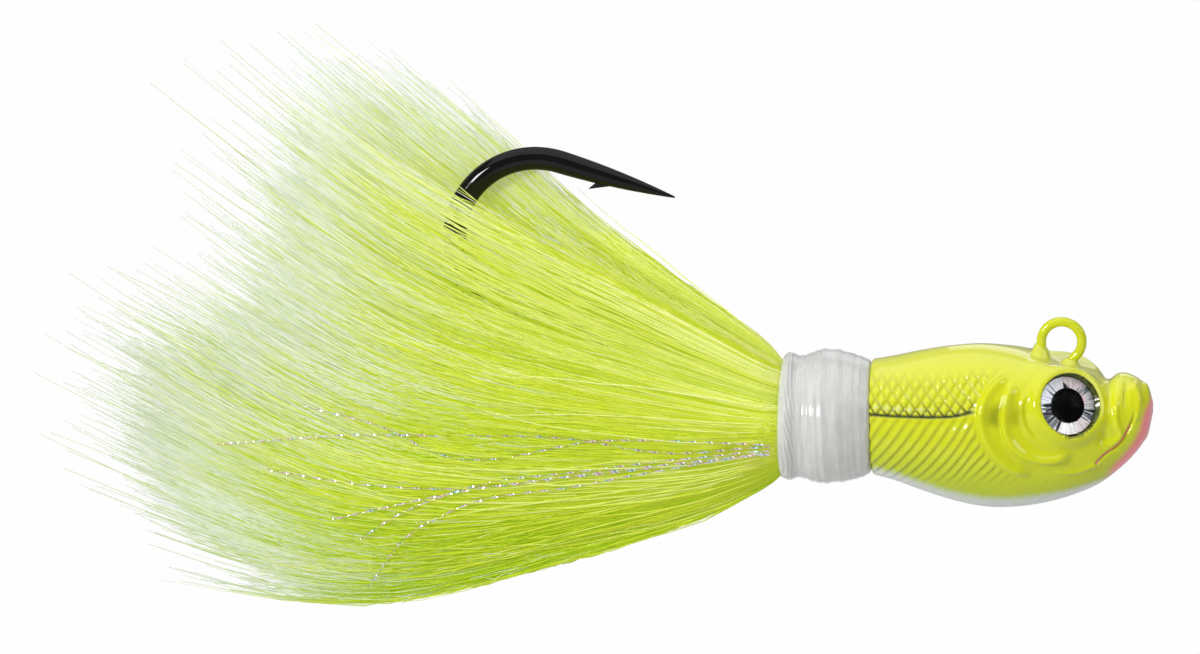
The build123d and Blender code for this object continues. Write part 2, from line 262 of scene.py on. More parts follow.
def use_group(tree, group, *feeds):
    """Places a group in a material, feeds its inputs in order and hands back its outputs."""
    return put(tree, "ShaderNodeGroup", *feeds, node_tree=group).outputs


print("the materials' helpers are ready")

# %% [markdown]
# ## Camera, floor and light
# A tackle catalogue shows a jig from its right side, from a little above and in front, with a long lens, so
# that the head and the hair keep their true proportions. The camera is turned a touch about its own axis so
# that the head's length runs level in the frame. The floor is plain and pale and lies well below, and both
# it and the surroundings show as white to the camera, while the lamps stay gentle.

# %% Place the camera

VIEW_AZIMUTH = math.radians(5.5)
VIEW_ELEVATION = math.radians(12.0)
VIEW_DISTANCE = 1200
FRAME_WIDTH = 144.0  # mm of the jig's plane that the frame takes in
FRAME_CENTRE = (-55.4, 1.74)  # mm along the level axis and above it
SENSOR = 36

toward = Vector(
    (
        math.sin(VIEW_AZIMUTH) * math.cos(VIEW_ELEVATION),
        -math.cos(VIEW_AZIMUTH) * math.cos(VIEW_ELEVATION),
        math.sin(VIEW_ELEVATION),
    )
)
length_seen = Vector((1, 0, 0)) - toward * toward.x
frame_right = length_seen.normalized()
frame_up = toward.cross(frame_right)
target = frame_right * FRAME_CENTRE[0] + frame_up * FRAME_CENTRE[1]
lens = bpy.data.cameras.new("long lens")
lens.sensor_width = SENSOR
lens.lens = SENSOR * VIEW_DISTANCE / FRAME_WIDTH
lens.clip_start, lens.clip_end = 0.05, 20
camera = bpy.data.objects.new("camera", lens)
bpy.context.scene.collection.objects.link(camera)
turn = Matrix((frame_right, frame_up, toward)).transposed().to_4x4()
camera.matrix_world = Matrix.Translation((target + toward * VIEW_DISTANCE) * MM) @ turn
bpy.context.scene.camera = camera
bpy.context.scene.view_settings.view_transform = "Standard"
print("lens", round(lens.lens), "mm, level axis tilt", round(math.degrees(math.asin(frame_right.z)), 2))

# %% Lay the floor

FLOOR_DROP = 100
FLOOR_SIZE = 6000
PAPER_WHITENESS = 0.98


def seen_by_camera(tree):
    """1 for light that goes straight to the camera and 0 for all other light."""
    return put(tree, "ShaderNodeLightPath").outputs["Is Camera Ray"]


def seen_white(tree, shader, share_when_seen):
    """Mixes a plain white glow over a shader, for the camera only."""
    glow = put(tree, "ShaderNodeEmission", (1, 1, 1, 1), 1.0)
    mix = put(tree, "ShaderNodeMixShader", times(tree, seen_by_camera(tree), share_when_seen))
    tree.links.new(shader, mix.inputs[1])
    tree.links.new(glow.outputs[0], mix.inputs[2])
    return mix.outputs[0]


paper, tree, shader = new_material("pale backdrop paper", Base_Color=(0.7, 0.7, 0.7, 1), Roughness=0.9)
paper_grain = put(tree, "ShaderNodeTexNoise", None, None, 900.0, 2.0)
bumped(tree, shader, paper_grain.outputs[0], 0.05, 0.0002)
whitened = seen_white(tree, shader.outputs[0], PAPER_WHITENESS)
link_to(tree, tree.nodes["Material Output"].inputs, Surface=whitened)
half = FLOOR_SIZE / 2
floor_corners = [(-half, -half), (half, -half), (half, half), (-half, half)]
floor = new_piece("floor", [(x, y, -FLOOR_DROP) for x, y in floor_corners], [[(0, 1, 2, 3)]], paper)
print("the floor lies", FLOOR_DROP, "mm below the wire loop")

# %% Light the room

ROOM_LIGHT = 0.28
world = bpy.data.worlds.new("soft white room")
bpy.context.scene.world = world
world.use_nodes = True
tree = world.node_tree
room = tree.nodes["Background"]
room.inputs[0].default_value = (1, 1, 1, 1)
seen = times(tree, seen_by_camera(tree), 1 - ROOM_LIGHT)
link_to(tree, room.inputs, Strength=plus(tree, seen, ROOM_LIGHT))


def soft_lamp(name, place, aim, size, power):
    """A square area lamp at a place in mm, turned to face aim."""
    data = bpy.data.lights.new(name, "AREA")
    data.size, data.energy = size * MM, power
    made = bpy.data.objects.new(name, data)
    made.location = Vector(place) * MM
    made.rotation_euler = (Vector(aim) - Vector(place)).to_track_quat("-Z", "Y").to_euler()
    bpy.context.scene.collection.objects.link(made)


MIDDLE = (-45, 0, 0)
soft_lamp("overhead softbox", (-60, -120, 620), MIDDLE, 1000, 3.0)
soft_lamp("key softbox", (-455, -518, 225), MIDDLE, 150, 2.5)
soft_lamp("fill card", (543, -238, 294), MIDDLE, 260, 0.5)
soft_lamp("back light", (60, 560, 330), MIDDLE, 350, 0.4)

# %% [markdown]
# ## The lead head
# The head is poured lead, so its detail is cut into the mould: diamond scales above the lateral line,
# slanted ribs below it, stepped gill covers, a rim round each eye, brows with the wire loop between them,
# and lips. It could be sculpted by hand. Here it is one dense grid of rings from the collar to the snout,
# because each mould cut is then a short rule that lifts or sinks the surface along its normal, and stays
# sharp in the mesh itself.

# %% The head's plain body

WRAP_AXIS_Z = -9.2
COLLAR_RADIUS = 4.5
COLLAR_REAR = -33.6
HEAD_REAR = -23.3
NOSE = 10.9
TOP_EDGE = [
    (-23.3, -2.35), (-20.3, -1.85), (-16.5, -1.05), (-12.7, -0.5), (-9.5, -0.35), (-6.9, -0.6),
    (-4.0, -1.2), (-2.0, -2.1), (0.0, -2.75), (2.0, -3.1), (4.0, -3.8), (5.6, -4.75), (6.6, -4.05),
    (7.6, -3.9), (8.6, -4.25), (9.6, -4.9), (10.4, -5.6), (10.9, -7.4),
]
BELLY_EDGE = [
    (-23.3, -16.1), (-20.3, -16.9), (-16.5, -18.3), (-12.7, -19.5), (-8.8, -20.2), (-5.0, -20.1),
    (-2.0, -19.6), (1.7, -18.5), (4.6, -17.2), (6.5, -15.8), (8.5, -13.9), (9.6, -12.5), (10.4, -11.0),
    (10.9, -8.6),
]
HALF_WIDTH = [
    (-23.3, 6.3), (-20.3, 6.8), (-15.0, 7.1), (-9.0, 7.3), (-4.0, 7.1), (-1.0, 6.7), (2.0, 5.9),
    (4.5, 4.9), (6.0, 4.2), (7.5, 3.75), (9.0, 3.1), (10.0, 2.3), (10.6, 1.4), (10.9, 0.15),
]
TOP_BOXINESS = [(-23.3, 2.0), (-8.0, 2.2), (-2.0, 3.0), (2.0, 3.2), (6.0, 2.5), (10.9, 2.0)]
BELLY_BOXINESS = [(-23.3, 2.0), (-6.0, 2.1), (6.0, 2.2), (10.9, 2.0)]
HEAD_ROWS = 270
HEAD_COLUMNS = 340

along = np.linspace(0, 1, HEAD_ROWS)
head_x = HEAD_REAR + (NOSE - HEAD_REAR) * (1 - (1 - along) ** 1.35)
round_angle = np.linspace(0, 2 * np.pi, HEAD_COLUMNS, endpoint=False)
X, ANGLE = np.meshgrid(head_x, round_angle, indexing="ij")
across, upright = np.cos(ANGLE), np.sin(ANGLE)
top, belly = through(TOP_EDGE, X), through(BELLY_EDGE, X)
power = 2 / np.where(upright > 0, through(TOP_BOXINESS, X), through(BELLY_BOXINESS, X))
shoulder = 1 - 0.3 * (1 - fade(X, HEAD_REAR - 0.01, HEAD_REAR + 0.9)) ** 3
Y = through(HALF_WIDTH, X) * shoulder * np.sign(across) * np.abs(across) ** power
Z = (top + belly) / 2 + (top - belly) / 2 * shoulder * np.sign(upright) * np.abs(upright) ** power
body = np.stack([X, Y, Z], axis=-1)
along_head = np.gradient(body, axis=0)
around_head = np.roll(body, -1, axis=1) - np.roll(body, 1, axis=1)
normal = np.cross(along_head, around_head)
normal = normal / (np.linalg.norm(normal, axis=-1, keepdims=True) + 1e-9)
normal = normal * np.sign((normal[..., 1] * Y).sum())
side = np.where(Y >= 0, 1.0, -1.0)
flank = fade(np.abs(normal[..., 1]), 0.12, 0.45)
print("head grid:", HEAD_ROWS, "by", HEAD_COLUMNS, "points")

# %% [markdown]
# ## Gill plates and cut lines
# A mould maker engraves the gill covers as low steps with a rounded rim, and the lateral line as a groove.
# Curves could be laid on the mesh and bevelled. Here every point of the grid is asked how far it lies from
# each line, because that one distance gives both the rounding of a rim and the slope of its plate.

# %% Distances from a line on the head


def bend(knots, count=60):
    """Points of a smooth line through (x, z) knots."""
    knots = np.array(knots, float)
    run = np.concatenate([[0], np.cumsum(np.linalg.norm(np.diff(knots, axis=0), axis=1))])
    t = np.linspace(0, run[-1], count)
    return np.stack([through(np.c_[run, knots[:, 0]], t), through(np.c_[run, knots[:, 1]], t)], axis=-1)


def from_line(knots):
    """How far ahead of a downward line each place on the head lies, and how far down the line that is."""
    line = bend(knots)
    best = np.full(X.shape, 1e9)
    ahead, share = np.zeros(X.shape), np.zeros(X.shape)
    for i, ((ax, az), (bx, bz)) in enumerate(zip(line, line[1:])):
        dx, dz = bx - ax, bz - az
        t = np.clip(((X - ax) * dx + (Z - az) * dz) / (dx * dx + dz * dz), 0, 1)
        far = np.hypot(X - ax - t * dx, Z - az - t * dz)
        near = far < best
        best = np.where(near, far, best)
        ahead = np.where(near, np.sign(dx * (Z - az) - dz * (X - ax)), ahead)
        share = np.where(near, (i + t) / (len(line) - 1), share)
    return best * ahead, share


def ridge(distance, width):
    """1 on a line, falling off over the width."""
    return np.exp(-((distance / width) ** 2))


def plate_edge(knots, rim, slope, reach):
    """A gill plate: a rounded rim along the line, standing clear behind and sloping down ahead."""
    distance, share = from_line(knots)
    ends = fade(share, 0.0, 0.12) * (1 - fade(share, 0.86, 1.0))
    crest = rim * fade(distance, -0.2, 0.15) * ridge(distance - 0.5, 0.55)
    plate = slope * fade(distance, -0.16, 0.2) * (1 - fade(distance, 0.3, reach))
    return (crest + plate) * ends * flank, distance


print("a ridge has fallen to", round(float(ridge(1.0, 1.0)), 2), "at its width")

# %% Cut lines of the mould

GILL_EDGE = [
    (-6.2, -2.4), (-8.5, -4.3), (-9.9, -7.5), (-9.4, -10.2), (-8.1, -12.6), (-5.9, -14.6), (-3.2, -15.4),
]
INNER_GILL = [
    (-5.6, -3.2), (-6.7, -5.6), (-7.1, -8.5), (-6.3, -11.0), (-4.9, -12.5), (-3.0, -13.4), (-0.5, -13.5),
    (2.0, -12.5),
]
CHEEK_FOLD = [(-3.9, -4.6), (-4.5, -6.6), (-4.3, -8.6), (-3.3, -10.3), (-1.5, -11.4), (0.8, -11.9)]
CHEEK_CREASE = [(-3.0, -5.2), (-3.3, -6.6), (-3.2, -8.0), (-2.7, -9.2)]
MOUTH = [(8.9, -7.2), (8.6, -8.8), (7.7, -10.7), (6.5, -12.2), (5.4, -12.9), (4.2, -14.0)]
JAW_FOLD = [(4.4, -14.0), (2.4, -14.7), (0.4, -14.9), (-1.2, -14.6)]
LIP_FOLD = [(6.5, -5.6), (6.6, -7.4), (6.7, -9.2), (7.1, -10.6), (6.1, -11.7), (4.9, -12.2)]
SNOUT_FOLD = [(8.4, -4.6), (9.1, -5.8), (9.2, -7.4), (8.9, -8.6)]
LATERAL_LINE = [(-23.5, -7.6), (-19.0, -7.75), (-15.0, -7.8), (-12.5, -7.65), (-10.6, -7.2)]
CHIN = [
    (10.95, -6.6), (10.95, -8.8), (10.4, -11.1), (9.5, -12.7), (8.4, -14.1), (7.2, -15.3), (5.8, -16.4),
    (4.0, -17.4),
]
outer_gill, behind_gill = plate_edge(GILL_EDGE, 0.45, 0.35, 3.4)
inner_gill, behind_inner = plate_edge(INNER_GILL, 0.45, 0.35, 3.0)
print("gill rims stand", round(float(outer_gill.max()), 2), "mm proud")

# %% [markdown]
# ## Scales and ribs
# Above the lateral line the mould has a net of diamond scales, and below it ribs that lean like the muscles
# of a fish. An image for displacement would have to be very large to keep such cuts sharp. A rule that
# repeats along the flank has no such limit, and fades out towards the back and the belly.

# %% Scales above the lateral line and ribs below it

SCALE_WIDTH, SCALE_HEIGHT, SCALE_RISE, SCALE_CUT_DEPTH = 1.38, 1.8, 0.13, 0.16
RIB_PITCH, RIB_HEIGHT, RIB_CREST = 1.38, 0.3, 0.82
LINE_DEPTH = 0.32
LINE_REAR, LINE_FRONT = LATERAL_LINE[0][0], LATERAL_LINE[-1][0]
over_line = Z - through(LATERAL_LINE, np.clip(X, LINE_REAR, LINE_FRONT))
rear = flank * fade(-behind_gill, 0.2, 0.7) * fade(X, HEAD_REAR, HEAD_REAR + 0.3)


def off_whole(value):
    """Distance to the nearest whole number."""
    return np.abs(value - np.round(value))


rising, falling = X / SCALE_WIDTH + over_line / SCALE_HEIGHT, X / SCALE_WIDTH - over_line / SCALE_HEIGHT
hatch = np.minimum(off_whole(rising), off_whole(falling))
scale_zone = rear * fade(over_line, 0.0, 0.3) * (1 - fade(over_line, 3.4, 5.4))
scale_cut = (1 - fade(hatch, 0.03, 0.16)) * scale_zone
scale_dome = fade(hatch, 0.08, 0.5) * scale_zone
rib_place = (X - 0.55 * over_line + 0.03 * over_line**2) / RIB_PITCH
rib_tooth = rib_place - np.floor(rib_place)
rib_lift = np.where(rib_tooth < RIB_CREST, rib_tooth / RIB_CREST, (1 - rib_tooth) / (1 - RIB_CREST))
rib_zone = rear * fade(-over_line, -0.2, 2.0) * (1 - fade(-over_line, 6.5, 9.5))
line_cut = ridge(over_line, 0.17) * rear
print("scales along the flank:", int((LINE_FRONT - HEAD_REAR) / SCALE_WIDTH))

# %% [markdown]
# ## Folds, brows and sockets
# Soft folds round the cheek, the jaw and the lips catch long highlights in gloss paint. They are ridges
# along lines, fading out at their ends. The brows are pushed straight up, because they stand above the
# eyes. The sockets are cut square to the way each eye faces, so that its disc lies flat in them.

# %% Folds and lips

MOUTH_DEPTH = 0.42
mouth_gap, mouth_share = from_line(MOUTH)
mouth_cut = ridge(mouth_gap, 0.16) * fade(mouth_share, 0.02, 0.2) * flank


def fold(knots, height, width, full_from, fades_from):
    """A raised fold along a line, full between two shares of its length. None keeps that end full."""
    gap, share = from_line(knots)
    begins = 1 if full_from is None else fade(share, 0, full_from)
    ends = 1 if fades_from is None else 1 - fade(share, fades_from, 1.0)
    return height * ridge(gap, width) * begins * ends * flank


def hollow_at(x, z, wide, high):
    """A soft dent on both flanks."""
    return np.exp(-(((X - x) / wide) ** 2 + ((Z - z) / high) ** 2)) * flank


lift = SCALE_RISE * scale_dome - SCALE_CUT_DEPTH * scale_cut
lift = lift + RIB_HEIGHT * (rib_lift - 0.4) * rib_zone - LINE_DEPTH * line_cut
lift = lift + outer_gill + inner_gill
lift = lift + fold(CHEEK_FOLD, 0.3, 0.32, 0.15, 0.7) + fold(CHEEK_CREASE, 0.22, 0.25, 0.2, 0.8)
lift = lift + fold(JAW_FOLD, 0.3, 0.26, None, 0.55) + fold(LIP_FOLD, 0.3, 0.36, 0.2, 0.75)
lift = lift + fold(SNOUT_FOLD, 0.32, 0.42, 0.15, None) - MOUTH_DEPTH * mouth_cut
lift = lift - 0.35 * hollow_at(5.7, -6.4, 0.8, 1.6) - 0.42 * hollow_at(5.1, -10.9, 0.7, 0.8)
lift = lift - 0.3 * hollow_at(7.8, -6.0, 0.4, 1.5)
sculpt = body + normal * lift[..., None]
print("the mould lifts the lead by up to", round(float(lift.max()), 2), "mm")

# %% Brows and wire legs

BROW_OUT, BROW_WIDTH = 4.4, 1.5
LEG_BLOBS = [(-2.43, 1.45), (1.05, 0.85)]  # x of a wire leg and how high the lead rises round it
brow_run = fade(X, -4.8, -2.0) * (1 - fade(X, 3.0, 5.6))
brow_height = 0.95 + 0.5 * fade(X, -2.0, 3.0)
sculpt[..., 2] += brow_height * ridge(np.abs(Y) - BROW_OUT, BROW_WIDTH) * fade(Z, -7.0, -4.2) * brow_run
for leg_x, blob in LEG_BLOBS:
    from_leg = np.hypot(X - leg_x, Y)
    sculpt[..., 2] += blob * (1 - fade(from_leg, 0.62, 1.4)) * (upright > 0)
print("brows stand up to", round(float(brow_height.max()), 2), "mm high")

# %% Eye sockets

EYE_SPOT = (1.05, 5.4, -6.6)
EYE_TURN, EYE_TILT = math.radians(26), math.radians(20)
SOCKET_RADIUS = 3.75
SOCKET_DEPTH = 1.05
SOCKET_RIM = 0.55
RIM_SLOPE = (4.05, 5.5)  # distances from the eye's middle over which the rim runs out
EYE_SPAN = (-3.0, 4.0)  # heights from the eye's middle that count as by the eye
SOCKET_SNAP = 0.085  # points this near the socket's wall are moved onto it

eye_face = np.stack(
    [
        math.sin(EYE_TURN) * math.cos(EYE_TILT) + 0 * X,
        math.cos(EYE_TURN) * math.cos(EYE_TILT) * side,
        math.sin(EYE_TILT) + 0 * X,
    ],
    axis=-1,
)
from_spot = sculpt - np.stack([EYE_SPOT[0] + 0 * X, EYE_SPOT[1] * side, EYE_SPOT[2] + 0 * X], axis=-1)
height = (from_spot * eye_face).sum(-1)
outward = from_spot - height[..., None] * eye_face
reach = np.linalg.norm(outward, axis=-1)
by_eye = (height > EYE_SPAN[0]) & (height < EYE_SPAN[1])
rim_share = 0.9 * (1 - fade(reach, *RIM_SLOPE)) * by_eye
new_height = height + (SOCKET_RIM - height) * rim_share
snap = by_eye & (np.abs(reach - SOCKET_RADIUS) < SOCKET_SNAP)
sunk = by_eye & (reach < SOCKET_RADIUS) & ~snap
new_height = np.where(sunk, -SOCKET_DEPTH, new_height)
sculpt = sculpt + eye_face * (new_height - height)[..., None]
pull = np.where(snap, (SOCKET_RADIUS - reach) / (reach + 1e-9), 0)
sculpt = sculpt + outward * pull[..., None]
print("points in the sockets:", int(sunk.sum()))

# %% [markdown]
# ## Where the paint goes
# Pearl is misted on the belly and pink on the chin. Dark olive in the cuts, grooves, gill gaps and sockets
# is painted shade, and pale glints on the scales are painted highlights. This could be painted on the mesh
# by hand. Masks worked out from the same distances as the cuts stay true to them.

# %% Paint masks

# How far each point faces up: a paler top, partly paint and partly a painted sheen, and painted shade below.
painted_light_by_facing = 0.5 + 0.5 * normal[..., 2]
pearl = fade(-normal[..., 2], 0.5, 0.9) * (1 - fade(X, 3.5, 7.5))
chin_gap, chin_share = from_line(CHIN)
pink = (1 - fade(np.abs(chin_gap), 0.4, 2.1)) * (1 - fade(chin_share, 0.66, 1.0))
pink = pink * fade(-Z - 0.22 * Y**2, 5.4, 7.9)
pink = np.maximum(pink, 0.9 * fade(mouth_cut, 0.45, 0.85) * fade(mouth_share, 0.2, 0.35))
# Dark olive is painted shade: in the scale cuts and the lateral line, and in the rib grooves beside the line.
painted_shade_by_line = ridge(over_line + 0.1, 0.6) * flank * (1 - fade(X, -6.4, -3.4))
near_line = ridge(over_line, 1.3)
olive = 0.2 * scale_cut + 0.75 * scale_cut * near_line + 1.2 * line_cut
olive = olive + 1.3 * painted_shade_by_line * rib_zone * (1 - fade(rib_lift, 0.1, 0.6))
olive = olive + 0.25 * rib_zone * (1 - fade(rib_lift, 0.0, 0.45))
# Painted shadow between the gill plates.
painted_shade_between_gills = 0.5 * fade(behind_gill, 0.5, 2.1) * (1 - fade(behind_gill, 2.2, 3.0))
painted_shade_between_gills = painted_shade_between_gills + 0.3 * fade(behind_inner, 0.7, 1.7) * (1 - fade(behind_inner, 1.9, 3.0))
olive = olive + painted_shade_between_gills * fade(over_line, -2.2, -0.9) * (1 - fade(over_line, -0.2, 1.7)) * flank
# The socket walls are painted dark, as the shade inside each socket.
olive = np.clip(np.where(sunk | snap, 0.93, olive), 0, 1)
# Pale glints on the row of scales just above the lateral line are painted highlights, laid in with the pearl.
glint_row = fade(over_line, 0.3, 0.7) * (1 - fade(over_line, 1.0, 1.7))
pearl = np.maximum(pearl, 0.42 * glint_row * fade(scale_dome, 0.05, 0.4) * fade(-X, 12.0, 17) * rear)
masks = np.stack([pearl, pink, olive, painted_light_by_facing], axis=-1)
print("share of the head that is dark:", round(float(olive.mean()), 2))

# %% Close the head's mesh

collar_x = np.linspace(COLLAR_REAR, HEAD_REAR, 12)[:-1]
CX, CANGLE = np.meshgrid(collar_x, round_angle, indexing="ij")
collar = np.stack([CX, COLLAR_RADIUS * np.cos(CANGLE), WRAP_AXIS_Z + COLLAR_RADIUS * np.sin(CANGLE)], axis=-1)
head_points = np.concatenate([collar, sculpt])
head_masks = np.concatenate([np.zeros((*CX.shape, 4)), masks]).reshape(-1, 4)
rows = len(head_points)
rear_cap = np.arange(HEAD_COLUMNS)[::-1]
nose_cap = np.arange((rows - 1) * HEAD_COLUMNS, rows * HEAD_COLUMNS)
head_faces = [ring_faces(rows, HEAD_COLUMNS), [rear_cap, nose_cap]]
print("head faces:", sum(len(faces) for faces in head_faces))

# %% [markdown]
# ## Paint
# The lead is powder painted in fluorescent chartreuse, misted pearl along the belly and pink on the chin,
# and clear coated. Dark olive in the cuts, the rib grooves, between the gill plates and on the socket walls
# is painted shade. The top is paler, partly its own paint and partly a painted sheen, the underside is
# darker as painted shade, and pale glints on the scales are painted highlights. The masks are worked out
# with the mould cuts and stored on the head's points, so one paint group can serve the head and the plain
# wire loop.

# %% The jig paint group

VECTOR, COLOUR, FLOAT = "NodeSocketVector", "NodeSocketColor", "NodeSocketFloat"
paint_group, given, handed = new_group(
    "jig paint",
    [("Place", VECTOR, None), ("Masks", COLOUR, (0, 0, 0, 0)), ("Facing up", FLOAT, 0.5)],
    [("Colour", COLOUR), ("Height", FLOAT), ("Roughness", FLOAT)],
)
drift = clouds(paint_group, given["Place"], 120.0, 2.0)
speck = clouds(paint_group, given["Place"], 2600.0, 2.0)
peel = clouds(paint_group, given["Place"], 700.0, 2.0)
parts = put(paint_group, "ShaderNodeSeparateColor", given["Masks"]).outputs
uneven = swing(paint_group, drift, 0.3)
# Paler on top, partly the paint's own and partly a painted sheen, and darker underneath as painted shade.
paler_top_shaded_underside = ramp(
    paint_group, plus(paint_group, given["Facing up"], uneven),
    (0.12, (190, 207, 34)), (0.45, (214, 222, 16)), (0.72, (224, 228, 20)), (1.0, (226, 230, 84)),
)
# The pearl mist, which also carries the painted highlights of the scale glints.
pearl_mist_and_glints = plus(paint_group, parts[0], swing(paint_group, speck, 0.5))
pearl_and_glint_share = mapped(paint_group, pearl_mist_and_glints, 0.25, 0.75, 0.0, 0.92)
with_pearl_and_glints = mixed(paint_group, pearl_and_glint_share, paler_top_shaded_underside, srgb(222, 228, 225))
blush = plus(paint_group, parts[1], swing(paint_group, speck, 0.35))
pink_share = mapped(paint_group, blush, 0.2, 0.8, 0.0, 1.0)
pinked = mixed(paint_group, pink_share, with_pearl_and_glints, srgb(255, 142, 148))
# Dark olive mixed in as painted shade in the cuts, grooves, gill gaps and sockets.
shaded = mixed(paint_group, parts[2], pinked, srgb(44, 58, 6))
glossy = mapped(paint_group, peel, 0.3, 0.7, 0.22, 0.34)
link_to(paint_group, handed, Colour=shaded, Height=peel, Roughness=glossy)


def paint_material(name, masked):
    """Clear-coated jig paint. A masked one reads the masks stored on its points."""
    made, tree, shader = new_material(name, Coat_Weight=1.0, Coat_Roughness=0.05, Specular_IOR_Level=0.1)
    feeds = [object_place(tree)]
    if masked:
        stored = put(tree, "ShaderNodeAttribute", attribute_name="masks")
        feeds += [stored.outputs["Color"], stored.outputs["Alpha"]]
    colour, peel, rough = use_group(tree, paint_group, *feeds)
    link_to(tree, shader.inputs, Base_Color=colour, Roughness=rough)
    bumped(tree, shader, peel, 0.08, 0.0001)
    return made


print("mixed the paint group of", len(paint_group.nodes), "nodes")

# %% Paint the head and the wire loop

head_paint = paint_material("chartreuse jig paint", True)
wire_paint = paint_material("chartreuse wire paint", False)
lead_head = new_piece("lead_head_sculpt", head_points, head_faces, head_paint)
stored = lead_head.data.attributes.new("masks", "FLOAT_COLOR", "POINT")
stored.data.foreach_set("color", head_masks.astype(np.float32).ravel())
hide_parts("lead_head")
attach(lead_head, "head")


def repaint(node, material):
    """Gives a node of the mechanical model its finish."""
    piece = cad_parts[node]
    if piece.material_slots:
        for place in piece.material_slots:
            place.material = material
    else:
        piece.data.materials.append(material)


repaint("line_tie", wire_paint)
print("painted the head and the line tie")

# %% [markdown]
# ## Stick-on eyes
# Each eye is a foam pad, a disc of prismatic foil, a black printed pupil and a clear resin dome. The discs
# are plain cylinders and domes, and the mechanical model has them right, so only their finish is made
# here. The foil is embossed in wedges that each catch the light their own way, with fine brushed lines in
# every wedge.

# %% Embossed foil

WEDGES, FINE_LINES = 1.45, 9.0  # how fast the foil changes from wedge to wedge and from line to line
foil_group, given, handed = new_group(
    "foil wedges",
    [
        ("Place", VECTOR, None), ("Centre", VECTOR, (0, 0, 0)), ("Level", VECTOR, (1, 0, 0)),
        ("Up", VECTOR, (0, 0, 1)),
    ],
    [("Colour", COLOUR), ("Height", FLOAT), ("Roughness", FLOAT)],
)


def with_vectors(operation, first, second):
    """A vector node of the foil group, as its vector and number outputs."""
    return put(foil_group, "ShaderNodeVectorMath", first, second, operation=operation).outputs


from_centre = with_vectors("SUBTRACT", given["Place"], given["Centre"])[0]
level = with_vectors("DOT_PRODUCT", from_centre, given["Level"])[1]
up = with_vectors("DOT_PRODUCT", from_centre, given["Up"])[1]
turn_about = sums(foil_group, "ARCTAN2", up, level)
squared = plus(foil_group, times(foil_group, level, level), times(foil_group, up, up))
ring = times(foil_group, sums(foil_group, "SQRT", squared), 520.0)
polar = joined(foil_group, times(foil_group, turn_about, WEDGES), times(foil_group, ring, 0.55), 0.0)
cells = put(foil_group, "ShaderNodeTexVoronoi", polar, None, 1.0)
cell_parts = put(foil_group, "ShaderNodeSeparateColor", cells.outputs["Color"]).outputs
fine = joined(
    foil_group, times(foil_group, turn_about, FINE_LINES), times(foil_group, ring, 0.45), cell_parts[2]
)
brushed = clouds(foil_group, fine, 1.0, 2.0)
tone = plus(foil_group, cell_parts[0], swing(foil_group, brushed, 1.5))
silver = ramp(
    foil_group, tone,
    (0.1, (34, 37, 42)), (0.22, (120, 126, 132)), (0.34, (222, 226, 230)), (0.5, (255, 255, 255)),
)
tint = ramp(
    foil_group, cell_parts[1],
    (0.0, (255, 214, 222)), (0.25, (255, 255, 255)), (0.75, (255, 255, 255)), (1.0, (196, 208, 255)),
)
link_to(
    foil_group, handed,
    Colour=mixed(foil_group, 0.8, silver, tint, "MULTIPLY"),
    Height=plus(foil_group, cell_parts[0], times(foil_group, brushed, 0.4)),
    Roughness=mapped(foil_group, brushed, 0.3, 0.7, 0.2, 0.42),
)

print("embossed the foil with", len(foil_group.nodes), "nodes")

# %% Pupil, resin and pad

pupil_black, tree, shader = new_material("printed pupil", Roughness=0.7, Specular_IOR_Level=0.0)
ink = clouds(tree, object_place(tree), 1500.0, 2.0)
link_to(tree, shader.inputs, Base_Color=ramp(tree, ink, (0.3, (3, 3, 4)), (0.7, (12, 12, 14))))
resin, tree, shader = new_material(
    "clear eye resin", Base_Color=(1, 1, 1, 1), Roughness=0.02, Transmission_Weight=1.0, IOR=1.12
)
bumped(tree, shader, clouds(tree, object_place(tree), 300.0, 1.0), 0.02, 0.0001)
foam, tree, shader = new_material("foam eye tape", Roughness=0.8)
pores = clouds(tree, object_place(tree), 2200.0, 3.0)
link_to(tree, shader.inputs, Base_Color=ramp(tree, pores, (0.3, (22, 22, 24)), (0.7, (44, 44, 46))))
bumped(tree, shader, pores, 0.4, 0.0002)


print("pupil, resin and pad are", pupil_black.name + ",", resin.name, "and", foam.name)

# %% Finish both eyes


def eye_outward(way):
    """The direction that the eye faces on the side that way names: -1 is right and 1 is left."""
    ahead, aside = math.sin(EYE_TURN) * math.cos(EYE_TILT), math.cos(EYE_TURN) * math.cos(EYE_TILT)
    return Vector((ahead, way * aside, math.sin(EYE_TILT)))


for hand, way in (("right", -1), ("left", 1)):
    outward_way = eye_outward(way)
    up_way = (Vector((0, 0, 1)) - outward_way * outward_way.z).normalized()
    level_way = up_way.cross(outward_way)
    foil, tree, shader = new_material(f"{hand} prismatic foil", Metallic=0.7)
    centre = (EYE_SPOT[0] * MM, way * EYE_SPOT[1] * MM, EYE_SPOT[2] * MM)
    colour, relief, rough = use_group(tree, foil_group, object_place(tree), centre, level_way, up_way)
    link_to(tree, shader.inputs, Base_Color=colour, Roughness=rough)
    bumped(tree, shader, relief, 0.25, 0.0001)
    repaint(f"{hand}_eye_pad", foam)
    repaint(f"{hand}_eye_foil", foil)
    repaint(f"{hand}_pupil", pupil_black)
    repaint(f"{hand}_eye_dome", resin)
print("finished both eyes")

# %% [markdown]
# ## The hook
# A forged hook in black nickel: a hard, dark, mirror-like plate with a little unevenness. Its shape is a
# swept ellipse, right already in the mechanical model, so it only gets its finish.

# %% Black nickel

